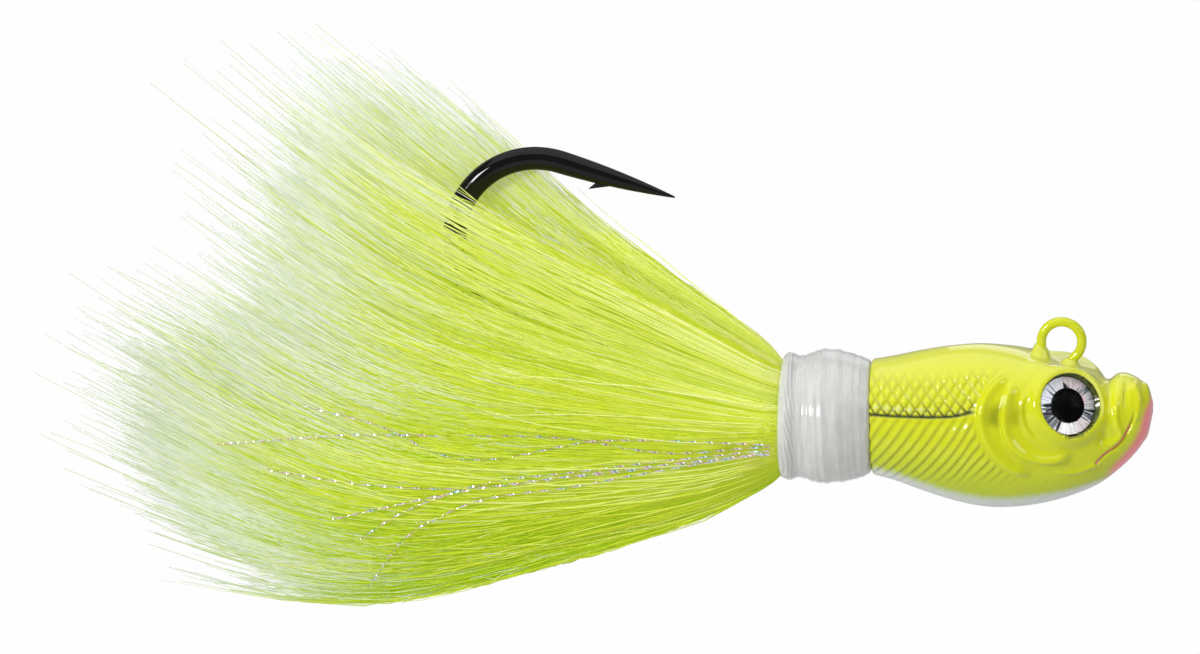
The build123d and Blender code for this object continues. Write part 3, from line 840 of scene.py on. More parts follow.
nickel, tree, shader = new_material(
    "black nickel plate", Roughness=0.16, Specular_IOR_Level=0.0, Coat_Weight=0.6, Coat_Roughness=0.04
)
cloud = clouds(tree, object_place(tree), 260.0, 4.0)
link_to(
    tree, shader.inputs,
    Base_Color=ramp(tree, cloud, (0.3, (3, 3, 4)), (0.72, (10, 10, 11))),
    Roughness=mapped(tree, cloud, 0.3, 0.75, 0.12, 0.26),
)
bumped(tree, shader, cloud, 0.06, 0.0002)
repaint("hook", nickel)
print("plated the hook")

# %% [markdown]
# ## Thread wrap and cement
# White thread is wound in many passes over the hair butts and soaked in clear cement. The passes pile up
# in bands, and at the rear the last turns cross at a slant. The thread is a ring whose outside carries the
# bands, the single turns and the slanted lay as real relief, and the cement is a thin clear skin just over
# it.

# %% Wind the thread

WRAP_PROFILE = [
    (-33.95, 6.7), (-33.7, 7.25), (-33.3, 7.52), (-32.7, 7.62), (-31.8, 7.35), (-30.9, 7.4),
    (-29.7, 7.85), (-28.4, 8.05), (-27.0, 7.9), (-25.4, 7.6), (-24.2, 7.25), (-23.55, 7.02),
    (-23.15, 6.78), (-22.85, 6.25),
]
BANDS = [  # place along the wrap, height and width
    (-33.0, 0.10, 0.4), (-31.3, 0.07, 0.35), (-30.4, 0.12, 0.42), (-29.4, 0.08, 0.3), (-28.6, 0.11, 0.34),
    (-26.8, 0.14, 0.55), (-25.6, 0.07, 0.35), (-25.0, 0.08, 0.3), (-24.2, 0.08, 0.3),
]
WRAP_INNER = 6.43
WRAP_ROWS = 188
WRAP_COLUMNS = 264
UNDER_CEMENT, CEMENT_SKIN = 0.17, 0.05
TURN_HEIGHT, TURN_PITCH = 0.006, 0.41
CROSS_HEIGHT, CROSS_PITCH = 0.004, 0.27
SLANT_HEIGHT, SLANT_PITCH = 0.06, 0.55

wrap_x = np.linspace(WRAP_PROFILE[0][0], WRAP_PROFILE[-1][0], WRAP_ROWS)
wrap_angle = np.linspace(0, 2 * np.pi, WRAP_COLUMNS, endpoint=False)
WX, WA = np.meshgrid(wrap_x, wrap_angle, indexing="ij")


def waves(place, pitch):
    """A sine wave that repeats at every pitch."""
    return np.sin(2 * np.pi * place / pitch)


def band(place, height, width):
    """A band of piled turns that sways as it goes round."""
    return height * ridge(WX + sway * (0.5 + 0.5 * np.sin(place * 3)) - place, width)


sway = 0.22 * np.sin(WA + 0.7) + 0.1 * np.sin(2 * WA + 2.0)
banding = sum(band(*each) for each in BANDS)
turns = TURN_HEIGHT * waves(WX + sway, TURN_PITCH) + CROSS_HEIGHT * waves(WX - 0.05 * WA, CROSS_PITCH)
slant = WX * 1.1 + 1.5 * np.sin(WA + 0.6) + 0.4 * np.sin(WA * 3)
slanted = fade(-WX, 31.4, 32.6) * SLANT_HEIGHT * waves(slant, SLANT_PITCH)
out_of_round = 0.09 * np.sin(2 * WA + 0.4) * fade(WX, -33.5, -31) + 0.05 * np.sin(3 * WA + WX)
ends = fade(WX, -33.95, -33.5) * (1 - fade(WX, -23.4, -23.0))
thread_r = through(WRAP_PROFILE, WX) - UNDER_CEMENT + (banding + turns + slanted + out_of_round) * ends
skin_r = through(WRAP_PROFILE, WX) + (1.15 * banding + out_of_round + 0.4 * slanted) * ends


print("the thread is up to", round(2 * float(thread_r.max()), 2), "mm across")

# %% Close a ring about the collar


def wound_ring(name, outer, inner, material):
    """A closed ring about the collar with the given outer and inner radii."""
    lean = 0.03 * np.sin(WA) * outer * (1 - fade(WX, -33.9, -30))
    radii = np.concatenate([outer, inner[::-1]])
    xs, angles = np.concatenate([WX + lean, (WX + lean)[::-1]]), np.concatenate([WA, WA])
    points = np.stack([xs, radii * np.cos(angles), WRAP_AXIS_Z + radii * np.sin(angles)], axis=-1)
    count = len(points)
    first = np.arange(WRAP_COLUMNS)
    last = first + (count - 1) * WRAP_COLUMNS
    closing = np.stack([last, np.roll(last, -1), np.roll(first, -1), first], axis=-1)
    return new_piece(name, points, [ring_faces(count, WRAP_COLUMNS), closing], material)


print("a wound ring takes", 2 * WX.size, "points")

# %% White thread

thread, tree, shader = new_material("waxed white thread", Roughness=0.4, Coat_Weight=1.0, Coat_Roughness=0.1)
place = object_place(tree)
lay = put(tree, "ShaderNodeMapping", place, None, None, (9.0, 0.6, 0.6)).outputs[0]
streak = clouds(tree, lay, 420.0, 3.0)
patch = clouds(tree, place, 260.0, 2.0)
soaked = plus(tree, times(tree, streak, 0.7), times(tree, patch, 0.3))
thread_white = ramp(tree, soaked, (0.33, (204, 205, 200)), (0.52, (219, 219, 216)), (0.7, (234, 234, 232)))
link_to(tree, shader.inputs, Base_Color=thread_white)
bumped(tree, shader, streak, 0.3, 0.00012)
wrap_inner = np.minimum(WRAP_INNER, thread_r - 0.12)
thread_ring = wound_ring("thread_wrap_turns", thread_r, wrap_inner, thread)
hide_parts("thread_wrap")
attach(thread_ring, "head")

print("wound", WRAP_ROWS, "rows of thread relief")

# %% Clear cement and the thread under the hair

cement, tree, shader = new_material(
    "clear cement", Base_Color=srgb(236, 238, 238), Roughness=0.1, Specular_IOR_Level=0.6
)
blotch = clouds(tree, object_place(tree), 500.0, 3.0)
edge = put(tree, "ShaderNodeLayerWeight", 0.35).outputs[1]
link_to(tree, shader.inputs, Alpha=plus(tree, times(tree, blotch, 0.22), times(tree, edge, 0.25)))
bumped(tree, shader, blotch, 0.35, 0.00015)
skin = wound_ring("cement_coat_skin", skin_r, skin_r - CEMENT_SKIN, cement)
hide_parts("cement_coat")
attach(skin, "head")

binding, tree, shader = new_material("base thread", Roughness=0.6)
turns_seen = put(tree, "ShaderNodeTexWave", object_place(tree), 900.0, 0.4, bands_direction="X").outputs[1]
turn_white = ramp(tree, turns_seen, (0.0, (190, 190, 186)), (1.0, (236, 236, 234)))
link_to(tree, shader.inputs, Base_Color=turn_white)
bumped(tree, shader, turns_seen, 0.4, 0.0002)
repaint("base_thread", binding)
print("the cement is", CEMENT_SKIN, "mm thick")

# %% [markdown]
# ## Bucktail
# The skirt is deer-tail hair: straight, slightly crinkled, thick at the root and drawn out to a fine pale
# tip. It is bound as separate bunches, each leaving the thread at its own angle, so the skirt is a fan
# between a lower and an upper edge. Real hair curves would be quicker to make but can't bend with the
# frame's joints, so every hair here is a thin three-sided tube. Hairs in a lock lean together towards the
# tip, which gives the fan its streaks and its ragged outline. A small colour chart on the OFBake map gives
# each hair one of 25 tones, and one of five kinds: four that pale sooner or later along their length, and
# the olive hairs of the ragged tips.

# %% The fan's shape

UPPER_EDGE = [
    (-130.0, 68.0), (-95.0, 46.0), (-80.0, 35.6), (-67.4, 25.2), (-62.6, 20.8), (-55.4, 14.6),
    (-48.2, 9.4), (-43.4, 5.9), (-38.6, 2.4), (-35.5, -0.2), (-34.4, -1.5), (-33.4, -2.9),
]
LOWER_EDGE = [
    (-130.0, -26.0), (-105.0, -28.3), (-93.6, -29.9), (-81.8, -30.2), (-67.4, -27.4), (-55.4, -24.4),
    (-48.2, -22.5), (-43.4, -21.0), (-38.6, -18.9), (-35.5, -17.2), (-34.4, -16.4), (-33.4, -15.4),
]
BARE_SLOPE, BARE_ROOT = 0.64, -1.8  # the line above which the right-hand hair leaves the hook bare
SKIRT_ROOT = -34.3
HALF_THICKNESS = [
    (-125.0, 3.0), (-116.0, 4.5), (-104.5, 9.0), (-92.8, 11.8), (-81.1, 12.8), (-69.4, 12.3),
    (-57.7, 10.8), (-46.0, 8.8), (-38.0, 7.6), (-34.3, 7.0), (-33.4, 6.3),
]
SOLID_REACH = [  # share of the fan from its lower edge, and the x where its solid hair ends
    (0.0, -84.0), (0.03, -92.5), (0.1, -102.0), (0.15, -107.0), (0.2, -109.0), (0.25, -108.4),
    (0.3, -106.0), (0.36, -101.0), (0.42, -96.0), (0.48, -93.0), (0.54, -92.0), (0.62, -92.5),
    (0.7, -91.5), (0.76, -88.5), (0.82, -84.5), (0.88, -78.5), (0.94, -71.5), (1.0, -63.0),
]
CURL, HIGHEST = 0.075, 39.0  # how far low hairs sag, as a share of the fan, and the greatest height of a tip
TUFTS, TUFT_HALF = 15, 0.042  # how many tufts the tips gather in, and half the share that each one takes
HAIR_START = -33.35
RINGS = np.array([0, 0.012, 0.035, 0.07, 0.13, 0.21, 0.3, 0.4, 0.5, 0.6, 0.7, 0.8, 0.9, 1.0])
SIDES = 3
TONES, KINDS = 25, 5
rng = np.random.default_rng(7)
TUFT_SHARES = (np.arange(TUFTS) + rng.uniform(0.15, 0.85, TUFTS)) / TUFTS
TUFT_LENGTHS = rng.uniform(2.0, 7.5, TUFTS)


def fan_height(x, t):
    """Height in the skirt of a hair that leaves it at share t, from the lower edge to the upper."""
    low, high = through(LOWER_EDGE, x), through(UPPER_EDGE, x)
    return low + (high - low) * t


def skirt_half(x, t):
    """Half thickness of the skirt there."""
    return through(HALF_THICKNESS, x) * np.sqrt(np.clip(1 - (2 * t - 1) ** 2, 0.04, 1))


def bare_share(x):
    """The share of the fan under the line where the right-hand hair stops and the hook shows."""
    low, high = through(LOWER_EDGE, x), through(UPPER_EDGE, x)
    return np.clip((BARE_ROOT + BARE_SLOPE * (SKIRT_ROOT - x) - low) / (high - low), 0.3, 1.0)


print("fan is", round(float(fan_height(-80.0, 1.0) - fan_height(-80.0, 0.0)), 1), "mm deep at x = -80")

# %% [markdown]
# ## Locks and single hairs
# Hair cut from a tail keeps together in locks, and a jig's skirt shows it: each lock leans, ends and
# catches the light its own way. Every bunch therefore gets random locks first. Its single hairs then
# follow their lock more and more towards the tip, while a few stay loose, stray outwards or are cut short.
# All draws come from one seeded generator, so the skirt is the same on every run.

# %% Where hairs lie in the skirt

EVEN = [(0.0, 1.0), (1.0, 1.0)]
THIN_TOP = [(0.0, 1.0), (0.7, 1.0), (0.82, 0.7), (0.9, 0.45), (1.0, 0.3)]
THIN_EDGE = [
    (0.0, 1.0), (0.5, 1.0), (0.6, 0.62), (0.68, 0.36), (0.74, 0.18), (0.8, 0.09), (0.87, 0.045),
    (0.94, 0.022), (1.0, 0.01),
]
UNDER_THREAD = 6.35
FULL_DEPTH = 7.0  # half thickness of the skirt for which the distances of its layers are given


def lanes(depth, layer):
    """Inner and outer distance from the middle plane of a layer of hair, where the skirt is depth deep."""
    inner, outer = layer
    near = np.minimum(inner, inner / FULL_DEPTH * depth)
    far = depth if outer is None else np.minimum(outer, outer / FULL_DEPTH * depth)
    return near, far


def pick_shares(count, span, density):
    """Random shares in a span, as crowded as the density curve says."""
    share = np.linspace(span[0], span[1], 400)
    weight = np.interp(share, *np.array(density).T)
    return np.interp(rng.uniform(0, weight.sum(), count), np.cumsum(weight), share)


def held_by_thread(x, y, z):
    """Squeezes hairs in at the root, so that they leave the thread as one round bundle."""
    radius = UNDER_THREAD + 1.0 * fade(-x, 33.5, 34.1) + 60 * fade(-x, 34.2, 38)
    spread = np.hypot(y, z - WRAP_AXIS_Z)
    squeeze = np.minimum(1, radius / (spread + 1e-9))
    return y * squeeze, WRAP_AXIS_Z + (z - WRAP_AXIS_Z) * squeeze


thin_lane = lanes(4.0, (1.4, 3.4))
print("where hair is 4 mm deep, a layer from 1.4 to 3.4 mm is at", [round(float(d), 2) for d in thin_lane])

# %% Locks, crinkle and tone

SPIKY_LOCKS, LONGEST_SPIKE, SHORTEST_SPIKE = 0.4, 16, 4.0
TURN = 6.28


def make_locks(count, span, density):
    """Random places, tones and leanings of the locks of one bunch."""
    share = pick_shares(count, span, density)
    layer = rng.uniform(0, 1, count) ** 0.7
    tone = rng.normal(0, 0.1, count)
    offset = rng.normal(0.2, 2.4, count)
    is_spiky = rng.uniform(0, 1, count) < SPIKY_LOCKS
    spike = np.minimum(SHORTEST_SPIKE + rng.gamma(2.2, 3.2, count), LONGEST_SPIKE)
    spike = np.where(is_spiky, spike, SHORTEST_SPIKE) * (1 - 0.5 * fade(share, 0.7, 0.9))
    bend = rng.normal(0, 0.024, count)
    pull = rng.uniform(0.55, 0.8, count)
    depth = rng.normal(0, 0.5, count)
    return share, layer, tone, offset, spike, bend, pull, depth


def crinkled(x, y, z, s):
    """Heights and distances with the slight waves of deer hair, at the steps s of its length."""
    count = len(x)
    wave, phase = rng.uniform(7, 13, count)[:, None], rng.uniform(0, TURN, (2, count))[:, :, None]
    size = rng.gamma(2.0, 0.09, count)[:, None] * fade(s, 0.05, 0.5)
    z = z + size * np.sin((x / wave) * TURN + phase[0])
    y = y + size * np.sin((x / wave) * 5.1 + phase[1])
    return y, z


def chart_columns(share, lock_tone, side, spiky, strays, pales):
    """The column of every hair on the colour chart, from its kind and its tone."""
    count = len(share)
    # Hairs low in the fan are darkened as painted shade, and high hairs and left-hand hairs lightened as
    # painted light.
    shaded = 0.22 * fade(share, 0.5, 0.85) - 0.36 * (1 - fade(share, 0.0, 0.4))
    shaded = shaded + np.where(strays, 0.3, 0.0) - np.where(spiky, 0.2, 0.0) + (0.04 if side > 0 else 0)
    tone = np.clip(0.5 + shaded + lock_tone + rng.normal(0, 0.09, count), 0, 0.999)
    paling = np.floor(rng.beta(1.4, 1.4, count) * 0.999 * (KINDS - 1))
    kind = np.where(spiky | strays, KINDS - 1, paling) * pales
    return np.floor(tone * TONES) + TONES * kind


print("locks end", SHORTEST_SPIKE, "to", LONGEST_SPIKE, "mm past the solid hair")

# %% Grow hairs

LOOSE, CUT_SHORT = 0.22, 0.3  # share of hairs that leave their lock, and share that end early
BARE_TIPS = -88.0  # where the bare line is read for the length of the hairs under it
KNEE, KNEE_ROOM = 0.92, 0.13  # where a share starts to be held back, and how far past that it can get
BESIDE_HOOK = 3.55


def grow(
    count, locks, span, side, layer,
    bare=False, thickness=(0.13, 0.19), stray=0.02, density=EVEN, spikes=0.06, reach=1.0,
):
    """Centre lines, radii and chart columns of one bunch of hair.

    Hairs start at random shares of the fan within span, and most belong to a lock that leans its own way.
    Side is -1 for right, 1 for left and 0 for both, and layer is how far out they lie. Hairs of a bare bunch
    stay under the line that leaves the hook bare.
    """
    low, high = span
    of_locks = make_locks(locks, span, density)
    mine = rng.integers(0, locks, count)
    lock_share, lock_layer, lock_tone, lock_offset, lock_spike, lock_bend, lock_pull, lock_depth = (
        values[mine] for values in of_locks
    )
    aside = rng.normal(0, 0.028, count)
    own_share = lock_share + aside
    loose = rng.uniform(0, 1, count) < LOOSE
    own_share = np.where(loose, pick_shares(count, span, density), own_share)
    own_share = low + (high - low) * np.abs(np.mod((own_share - low) / (high - low) + 1, 2) - 1)
    spiky = rng.uniform(0, 1, count) < spikes
    own_layer = np.clip(lock_layer + rng.normal(0, 0.16, count), 0, 1)
    strays = rng.uniform(0, 1, count) < stray
    is_short = rng.uniform(0, 1, count) < CUT_SHORT
    short = np.where(is_short, rng.uniform(0.05, 0.5, count), rng.gamma(1.5, 0.025, count))
    edge_share = own_share * bare_share(BARE_TIPS) if bare else own_share
    solid = reach * (HAIR_START - through(SOLID_REACH, np.clip(edge_share, 0, 1)))
    spiked = lock_spike * rng.uniform(0, 1, count) ** 1.4
    past = np.where(spiky, spiked, lock_offset - solid * short - 70 * np.abs(aside))
    tuft = np.abs(edge_share[:, None] - TUFT_SHARES[None, :]).argmin(axis=1)
    to_tuft = TUFT_SHARES[tuft] - edge_share
    in_tuft = 1 - np.clip(np.abs(to_tuft) / TUFT_HALF, 0, 1)
    past = past + TUFT_LENGTHS[tuft] * in_tuft**1.3 - 2.0
    follows = np.where(loose, 0.0, np.where(spiky, 1.35, 1.0))[:, None]
    far_out, near_by = rng.normal(0, 0.1, count), rng.normal(0, np.where(spiky, 0.038, 0.02), count)
    wander = np.where(strays, far_out, near_by)
    tuft_pull = to_tuft * np.where(spiky, 0.85, 0.6) * (1 - 0.8 * fade(own_share, 0.8, 0.95))
    curl = CURL * fade(own_share, -0.02, 0.14) * (1 - 0.75 * fade(own_share, 0.75, 1.0))

    def route(s):
        """Places, shares and the lock's ease along every hair, at the steps s of its length."""
        x = HAIR_START - solid[:, None] * s
        ease = fade(s, 0.1, 0.92)
        pulled = own_share[:, None] + (lock_share - own_share)[:, None] * ease * lock_pull[:, None] * follows
        pulled = pulled + lock_bend[:, None] * fade(s, 0.2, 1.0) + wander[:, None] * fade(s, 0.0, 1.0)
        pulled = pulled + tuft_pull[:, None] * fade(s, 0.62, 1.05)
        curled = 1 - (np.maximum(s - 0.45, 0) / 0.55) ** 1.6
        t = np.maximum(pulled - curl[:, None] * curled, -0.02)
        held = KNEE + KNEE_ROOM * (1 - np.exp(-(t - KNEE) / KNEE_ROOM))
        t = np.where(t > KNEE, held, t) * (bare_share(x) if bare else 1.0)
        return x, fan_height(x, t), t, ease

    s = RINGS[None, :] * (1 + past / solid)[:, None]
    too_high = np.maximum(route(s)[1][:, -1:] - HIGHEST, 0)
    s = s * (1 - np.minimum(too_high / 40, 0.6))
    x, z, t, ease = route(s)
    near, far = lanes(skirt_half(x, np.clip(t, 0.03, 0.97)), layer)
    y = near + (far - near) * (own_layer[:, None] + (lock_layer - own_layer)[:, None] * 0.8 * ease * follows)
    y = y + lock_depth[:, None] * fade(s, 0.1, 0.6)
    y = y + np.where(strays, 0.7, 0.0)[:, None] * fade(s, 0.02, 0.2)
    y, z = crinkled(x, y, z, s)
    if side:
        y = side * y
    else:
        behind = fade(t, 0.4, 0.55)
        y = y * np.sign(rng.uniform(-1, 1, count))[:, None] * (1 - behind) + BESIDE_HOOK * behind
    y, z = held_by_thread(x, y, z)
    taper = np.where(spiky, 0.42, 0.62)[:, None]
    wide = rng.uniform(*thickness, count)[:, None] * (1 - taper * fade(RINGS, 0.5, 1.0)[None, :])
    chart = chart_columns(own_share, lock_tone, side, spiky, strays, reach == 1)
    return np.stack([x, y, z], axis=-1), wide / 2, chart


print("hairs are kept under z =", HIGHEST, "mm, as far as their waves allow")

# %% [markdown]
# ## Tubes that clear the hook
# Hair parts round the wire of the hook, so hairs that would run through it are pushed to its left side, the
# one turned away in the usual view. Blender's own hair curves would draw faster, but a bunch has to be a
# mesh before it can bend with a joint, so each hair gets a ring of three points at every step.

# %% Keep hairs off the hook

HOOK_CENTRE, BEND_RADIUS, SHANK_SLOPE = (-63.0, 12.5), 10.0, math.radians(18.2)
CLEAR_OF_WIRE = 1.75
BEND_AHEAD = 3  # how far ahead of the bend's centre the straight shank is reckoned from
joint_x = HOOK_CENTRE[0] + BEND_RADIUS * math.sin(SHANK_SLOPE)
joint_z = HOOK_CENTRE[1] - BEND_RADIUS * math.cos(SHANK_SLOPE)


def around_hook(path):
    """Pushes hairs to the left of the hook's wire where they would run through it."""
    x, y, z = path[..., 0], path[..., 1], path[..., 2]
    shank_z = joint_z - (x - joint_x) * math.tan(SHANK_SLOPE)
    from_shank = np.where(x > HOOK_CENTRE[0] + BEND_AHEAD, np.abs(z - shank_z), 99)
    from_bend = np.abs(np.hypot(x - HOOK_CENTRE[0], z - HOOK_CENTRE[1]) - BEND_RADIUS)
    near = np.maximum(1 - fade(from_shank, 1.6, 2.4), 1 - fade(from_bend, 1.6, 4.5))
    path[..., 1] = np.where(np.abs(y) < CLEAR_OF_WIRE, y + (CLEAR_OF_WIRE - y) * near, y)
    return path


print("the shank meets the bend at x =", round(joint_x, 1), "and z =", round(joint_z, 1))

# %% Make the tubes


def tubes(name, path, radius, chart, material):
    """Thin tapered tubes along centre lines, with the colour chart laid on the OFBake map."""
    count, rings = radius.shape
    forward = np.gradient(path, axis=1)
    forward = forward / (np.linalg.norm(forward, axis=-1, keepdims=True) + 1e-9)
    sideways = np.cross(forward, [0.0, 0.0, 1.0])
    sideways = sideways / (np.linalg.norm(sideways, axis=-1, keepdims=True) + 1e-9)
    third = np.cross(sideways, forward)
    corner = 2 * np.pi * np.arange(SIDES) / SIDES
    ring = sideways[:, :, None, :] * np.cos(corner)[:, None] + third[:, :, None, :] * np.sin(corner)[:, None]
    points = path[:, :, None, :] + ring * radius[:, :, None, None]
    index = np.arange(count * rings * SIDES).reshape(count, rings, SIDES)
    beside = np.roll(index, -1, axis=2)
    quads = np.stack([index[:, :-1], beside[:, :-1], beside[:, 1:], index[:, 1:]], axis=-1).reshape(-1, 4)
    ends = np.concatenate([index[:, 0, ::-1], index[:, -1, :]])
    made = new_piece(name, points, [quads, ends], material)
    across_chart = (chart[:, None, None] + 0.5 + 0.3 * (np.arange(SIDES) - 1)) / (TONES * KINDS)
    up_chart = 0.02 + 0.96 * RINGS[:, None]
    spots = np.stack(np.broadcast_arrays(across_chart, up_chart), axis=-1).reshape(-1, 2)
    corners = np.empty(len(made.data.loops), np.int32)
    made.data.loops.foreach_get("vertex_index", corners)
    layer = made.data.uv_layers.new(name="OFBake")
    layer.uv.foreach_set("vector", spots[corners].astype(np.float32).ravel())
    return made


print("a hair is", len(RINGS), "rings of", SIDES, "points")

# %% [markdown]
# ## Hair colour
# Dye takes differently on every hair and fades towards the tip, where the pale natural hair shows through.
# A material for each tone would be exact but slow to handle. Here one group reads a hair's place on the
# colour chart, with its tone and kind across and its length upwards, and mixes five colours from that.

# %% Hair colour

hair_group, given, handed = new_group(
    "hair colour",
    [
        ("Chart", VECTOR, None), ("Deep", COLOUR, (0, 0, 0, 1)), ("Middle", COLOUR, (0.5, 0.5, 0.5, 1)),
        ("Light", COLOUR, (1, 1, 1, 1)), ("Tip", COLOUR, (1, 1, 1, 1)), ("Olive tip", COLOUR, (1, 1, 1, 1)),
    ],
    [("Colour", COLOUR), ("Glow", COLOUR), ("Roughness", FLOAT)],
)
chart = put(hair_group, "ShaderNodeSeparateXYZ", given["Chart"]).outputs
column = sums(hair_group, "FLOOR", times(hair_group, chart[0], float(TONES * KINDS)))
strand = joined(hair_group, times(hair_group, column, 3.7), times(hair_group, chart[1], 16.0), 0.0)
mottle = clouds(hair_group, strand, 1.0, 2.0)
even_tone = divided(hair_group, sums(hair_group, "MODULO", column, float(TONES)), TONES - 1.0)
tone = plus(hair_group, even_tone, swing(hair_group, mottle, 0.5))
low_half = mapped(hair_group, tone, 0.0, 0.5, 0.0, 1.0)
high_half = mapped(hair_group, tone, 0.5, 1.0, 0.0, 1.0)
deep_to_middle = mixed(hair_group, low_half, given["Deep"], given["Middle"])
body_colour = mixed(hair_group, high_half, deep_to_middle, given["Light"])
kind = sums(hair_group, "FLOOR", divided(hair_group, column, float(TONES)))
olive = sums(hair_group, "GREATER_THAN", kind, KINDS - 1.5)
pale = divided(hair_group, kind, KINDS - 2.0)
pale_from = minus(hair_group, 0.92, times(hair_group, minus(hair_group, pale, olive), 0.38))
tip_share = mapped(hair_group, chart[1], pale_from, 0.98, 0.0, 0.95, interpolation_type="SMOOTHSTEP")
tip_colour = mixed(hair_group, olive, given["Tip"], given["Olive tip"])
tipped = mixed(hair_group, tip_share, body_colour, tip_colour)
# The glow is painted light, about a quarter of the hair's colour given off along its whole length.
painted_glow_share = mapped(hair_group, chart[1], 0.0, 0.75, 0.27, 0.28)
link_to(
    hair_group, handed,
    Colour=tipped,
    Glow=mixed(hair_group, painted_glow_share, (0, 0, 0, 1), tipped),
    Roughness=minus(hair_group, 0.55, times(hair_group, tone, 0.15)),
)


print("mixed the hair colour group of", len(hair_group.nodes), "nodes")

# %% Chartreuse and white hair


def hair_material(name, *colours):
    """Bucktail in its deep, middle, light, tip and olive-tip colours, each from 0 to 255.

    The glow is painted light: an even emission of the hair's own colour that brightens it in its shade.
    """
    made, tree, shader = new_material(name, Specular_IOR_Level=0.3, Emission_Strength=1.0)
    chart = put(tree, "ShaderNodeUVMap", uv_map="OFBake").outputs[0]
    colour, glow, rough = use_group(tree, hair_group, chart, *[srgb(*each) for each in colours])
    link_to(tree, shader.inputs, Base_Color=colour, Emission_Color=glow, Roughness=rough)
    return made


chartreuse = hair_material(
    "chartreuse bucktail", (166, 197, 26), (204, 218, 54), (231, 238, 150), (223, 229, 217), (202, 212, 184)
)
white_tail = hair_material(
    "white bucktail", (196, 208, 212), (222, 231, 234), (242, 248, 250), (228, 237, 240), (200, 210, 206)
)
print("hair colours:", chartreuse.name, "and", white_tail.name)

# %% [markdown]
# ## Bunches
# A tier lays the hair on in bunches: a white core, then chartreuse bunches above, below and outside it. One
# big mesh would look the same, but couldn't flare. Each bunch is therefore its own meshes. The right-hand
# bunches stop under the hook, and the left-hand ones go on up behind it.

# %% Tie on the bunches

CORE, OVER_SHANK, CHEEK, FLANK = (0.0, 1.1), (-1.6, 1.6), (1.4, 3.4), (3.7, None)


def tie_on(node, batches, body, material):
    """Makes the meshes of one bunch and shows them in place of its node, attached to the head only without a
    body.
    """
    for number, (path, radius, chart) in enumerate(batches, 1):
        piece = tubes(f"{node}_locks_{number}", around_hook(path), radius, chart, material)
        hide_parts(node)
        if body:
            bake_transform(piece)
        else:
            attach(piece, "head")
    print(node, "has", sum(len(chart) for _, _, chart in batches), "hairs in", len(batches), "meshes")


PER_MESH = 2400
WHOLE, TOP, BOTTOM = (0.0, 1.0), (0.4, 1.0), (0.0, 0.45)
BUNCHES = {
    "right_hair": [grow(PER_MESH, 70, WHOLE, -1, FLANK, bare=True, density=THIN_EDGE) for _ in range(4)],
    "left_hair": [grow(PER_MESH, 70, WHOLE, 1, FLANK, density=THIN_TOP) for _ in range(3)],
    "upper_right_hair": [
        grow(1600, 60, (0.42, 0.88), -1, CHEEK, bare=True, density=THIN_EDGE),
        grow(1100, 30, (0.83, 0.98), -1, OVER_SHANK, bare=True, thickness=(0.17, 0.24), reach=0.47),
    ],
    "upper_left_hair": [grow(PER_MESH, 50, TOP, 1, CHEEK, density=THIN_TOP) for _ in range(2)],
    "lower_right_hair": [grow(1600, 70, BOTTOM, -1, CHEEK)],
    "lower_left_hair": [grow(1600, 70, BOTTOM, 1, CHEEK)],
}
BODIES = {
    "right_hair": "right_hair_body", "left_hair": "left_hair_body",
    "upper_right_hair": "upper_hair", "upper_left_hair": "upper_hair",
    "lower_right_hair": "lower_hair", "lower_left_hair": "lower_hair",
}
for node, batches in BUNCHES.items():
    tie_on(node, batches, BODIES[node], chartreuse)
core = grow(2450, 70, (0.02, 0.97), 0, CORE, thickness=(0.1, 0.15), spikes=0.08)
tie_on("white_hair", [core], None, white_tail)

# %% [markdown]
# ## Tinsel
# Six strands of tinsel lie down each flank. Tinsel is slit from pearl film and twisted, so it flashes in
# short dashes as each half turn faces the light. Each strand is a thin ribbon twisted half a turn every
# two millimetres along its route over the hair.

# %% Routes and film

TINSEL_ROUTES = [
    [(-36.0, -11.4), (-47.0, -11.8), (-59.0, -9.5), (-72.9, -8.9), (-84.8, -8.9), (-101.3, -10.8)],
    [(-36.0, -11.0), (-54.0, -9.9), (-74.9, -10.9), (-79.9, -8.2), (-90.4, -5.3)],
    [(-36.0, -12.4), (-55.0, -14.2), (-73.7, -15.7), (-81.9, -15.3), (-95.6, -13.6)],
    [(-36.0, -11.8), (-56.0, -13.6), (-72.2, -16.0), (-80.7, -19.9), (-84.3, -22.5)],
    [(-36.0, -12.1), (-57.0, -15.5), (-73.7, -19.0), (-79.3, -22.8), (-83.7, -29.0)],
    [(-36.0, -12.2), (-56.0, -14.0), (-72.2, -16.1), (-81.8, -18.3), (-87.5, -19.8)],
]
HALF_PITCH = 2.0
TINSEL_HALF, FILM_HALF = 0.11, 0.02
OVER_HAIR = 0.35
STRAND_STEPS = 420

film, tree, shader = new_material("pearl tinsel film", Metallic=1.0, Roughness=0.2)
hue = clouds(tree, object_place(tree), 700.0, 1.0)
pearl_hues = ramp(
    tree, hue,
    (0.3, (190, 225, 235)), (0.45, (238, 240, 242)), (0.58, (250, 214, 222)), (0.7, (214, 236, 200)),
)
link_to(tree, shader.inputs, Base_Color=pearl_hues)

print("tinsel turns over every", HALF_PITCH, "mm")

# %% Twist the ribbons

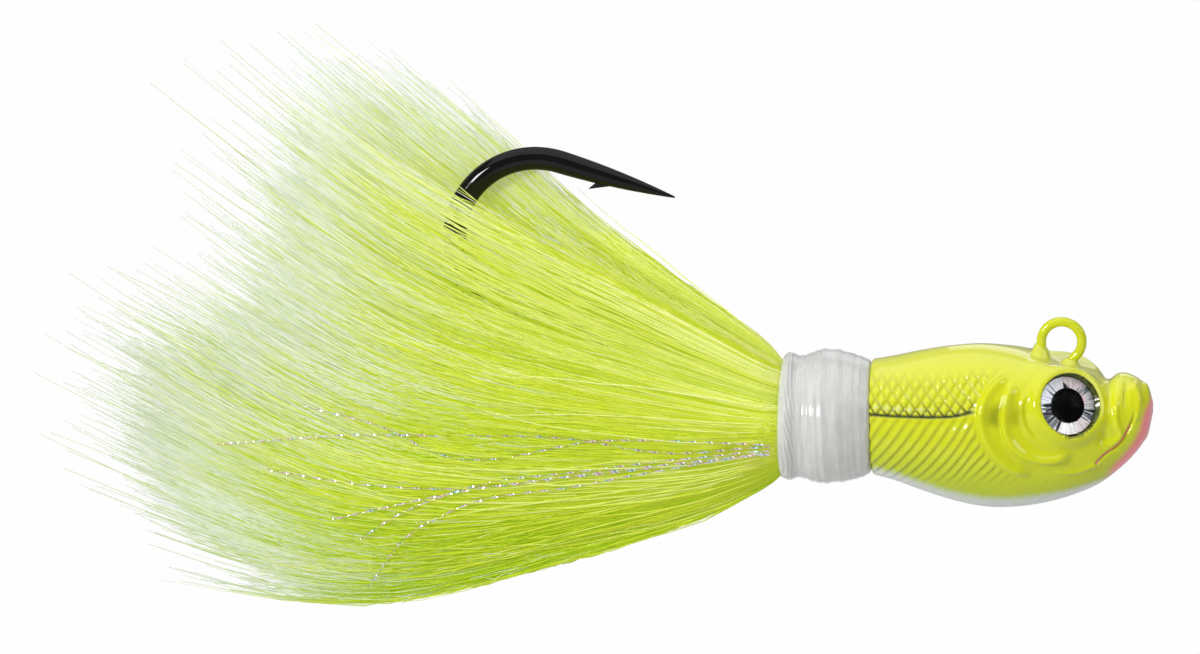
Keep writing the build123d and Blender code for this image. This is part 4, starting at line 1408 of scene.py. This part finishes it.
for side, hand in ((-1, "right"), (1, "left")):
    for number, route in enumerate(TINSEL_ROUTES):
        knots = np.array(route)[::-1]
        x = np.linspace(knots[-1, 0] + 1.2, knots[0, 0], STRAND_STEPS)
        z = through(knots, x)
        low, high = fan_height(x, 0.0), fan_height(x, 1.0)
        share = np.clip((z - low) / (high - low), 0.05, 0.95)
        y = side * (skirt_half(x, share) + OVER_HAIR + 0.12 * number)
        line = np.stack([x, y, z], axis=-1)
        run = np.concatenate([[0], np.cumsum(np.linalg.norm(np.diff(line, axis=0), axis=1))])
        forward = np.gradient(line, axis=0)
        forward /= np.linalg.norm(forward, axis=1, keepdims=True)
        flat = np.cross(forward, [0.0, 1.0, 0.0])
        flat /= np.linalg.norm(flat, axis=1, keepdims=True)
        out = np.cross(flat, forward)
        angle = (np.pi * run / HALF_PITCH + number)[:, None]
        width_way = flat * np.cos(angle) + out * np.sin(angle)
        film_way = np.cross(forward, width_way)
        ways = [(-1, -1), (1, -1), (1, 1), (-1, 1)]
        corners = [line + a * TINSEL_HALF * width_way + b * FILM_HALF * film_way for a, b in ways]
        last = 4 * (len(line) - 1)
        ends = [[3, 2, 1, 0], [last, last + 1, last + 2, last + 3]]
        faces = [ring_faces(len(line), 4), ends]
        ribbon = new_piece(f"{hand}_tinsel_twist_{number + 1}", np.stack(corners, axis=1), faces, film)
        ribbon.data.polygons.foreach_set("use_smooth", np.zeros(len(ribbon.data.polygons), bool))
        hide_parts(f"{hand}_tinsel_{number + 1}")
        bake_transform(ribbon)
print("twisted", 2 * len(TINSEL_ROUTES), "strands of tinsel")

# %% [markdown]
# ## Hair butts
# The cut ends of the hair lie hidden under the thread. They would be seen only if the thread came off, so
# the mechanical model's plain ring serves, with a fine grain that runs along the jig like cut hair.

# %% Butts under the thread

butts, tree, shader = new_material("clipped hair butts", Roughness=0.6)
stretched = put(tree, "ShaderNodeMapping", object_place(tree), None, None, (0.2, 1.0, 1.0)).outputs[0]
grain = clouds(tree, stretched, 3000.0, 2.0)
link_to(tree, shader.inputs, Base_Color=ramp(tree, grain, (0.3, (120, 160, 20)), (0.7, (220, 235, 90))))
bumped(tree, shader, grain, 0.4, 0.0002)
repaint("hair_butts", butts)
print("finished the butts")
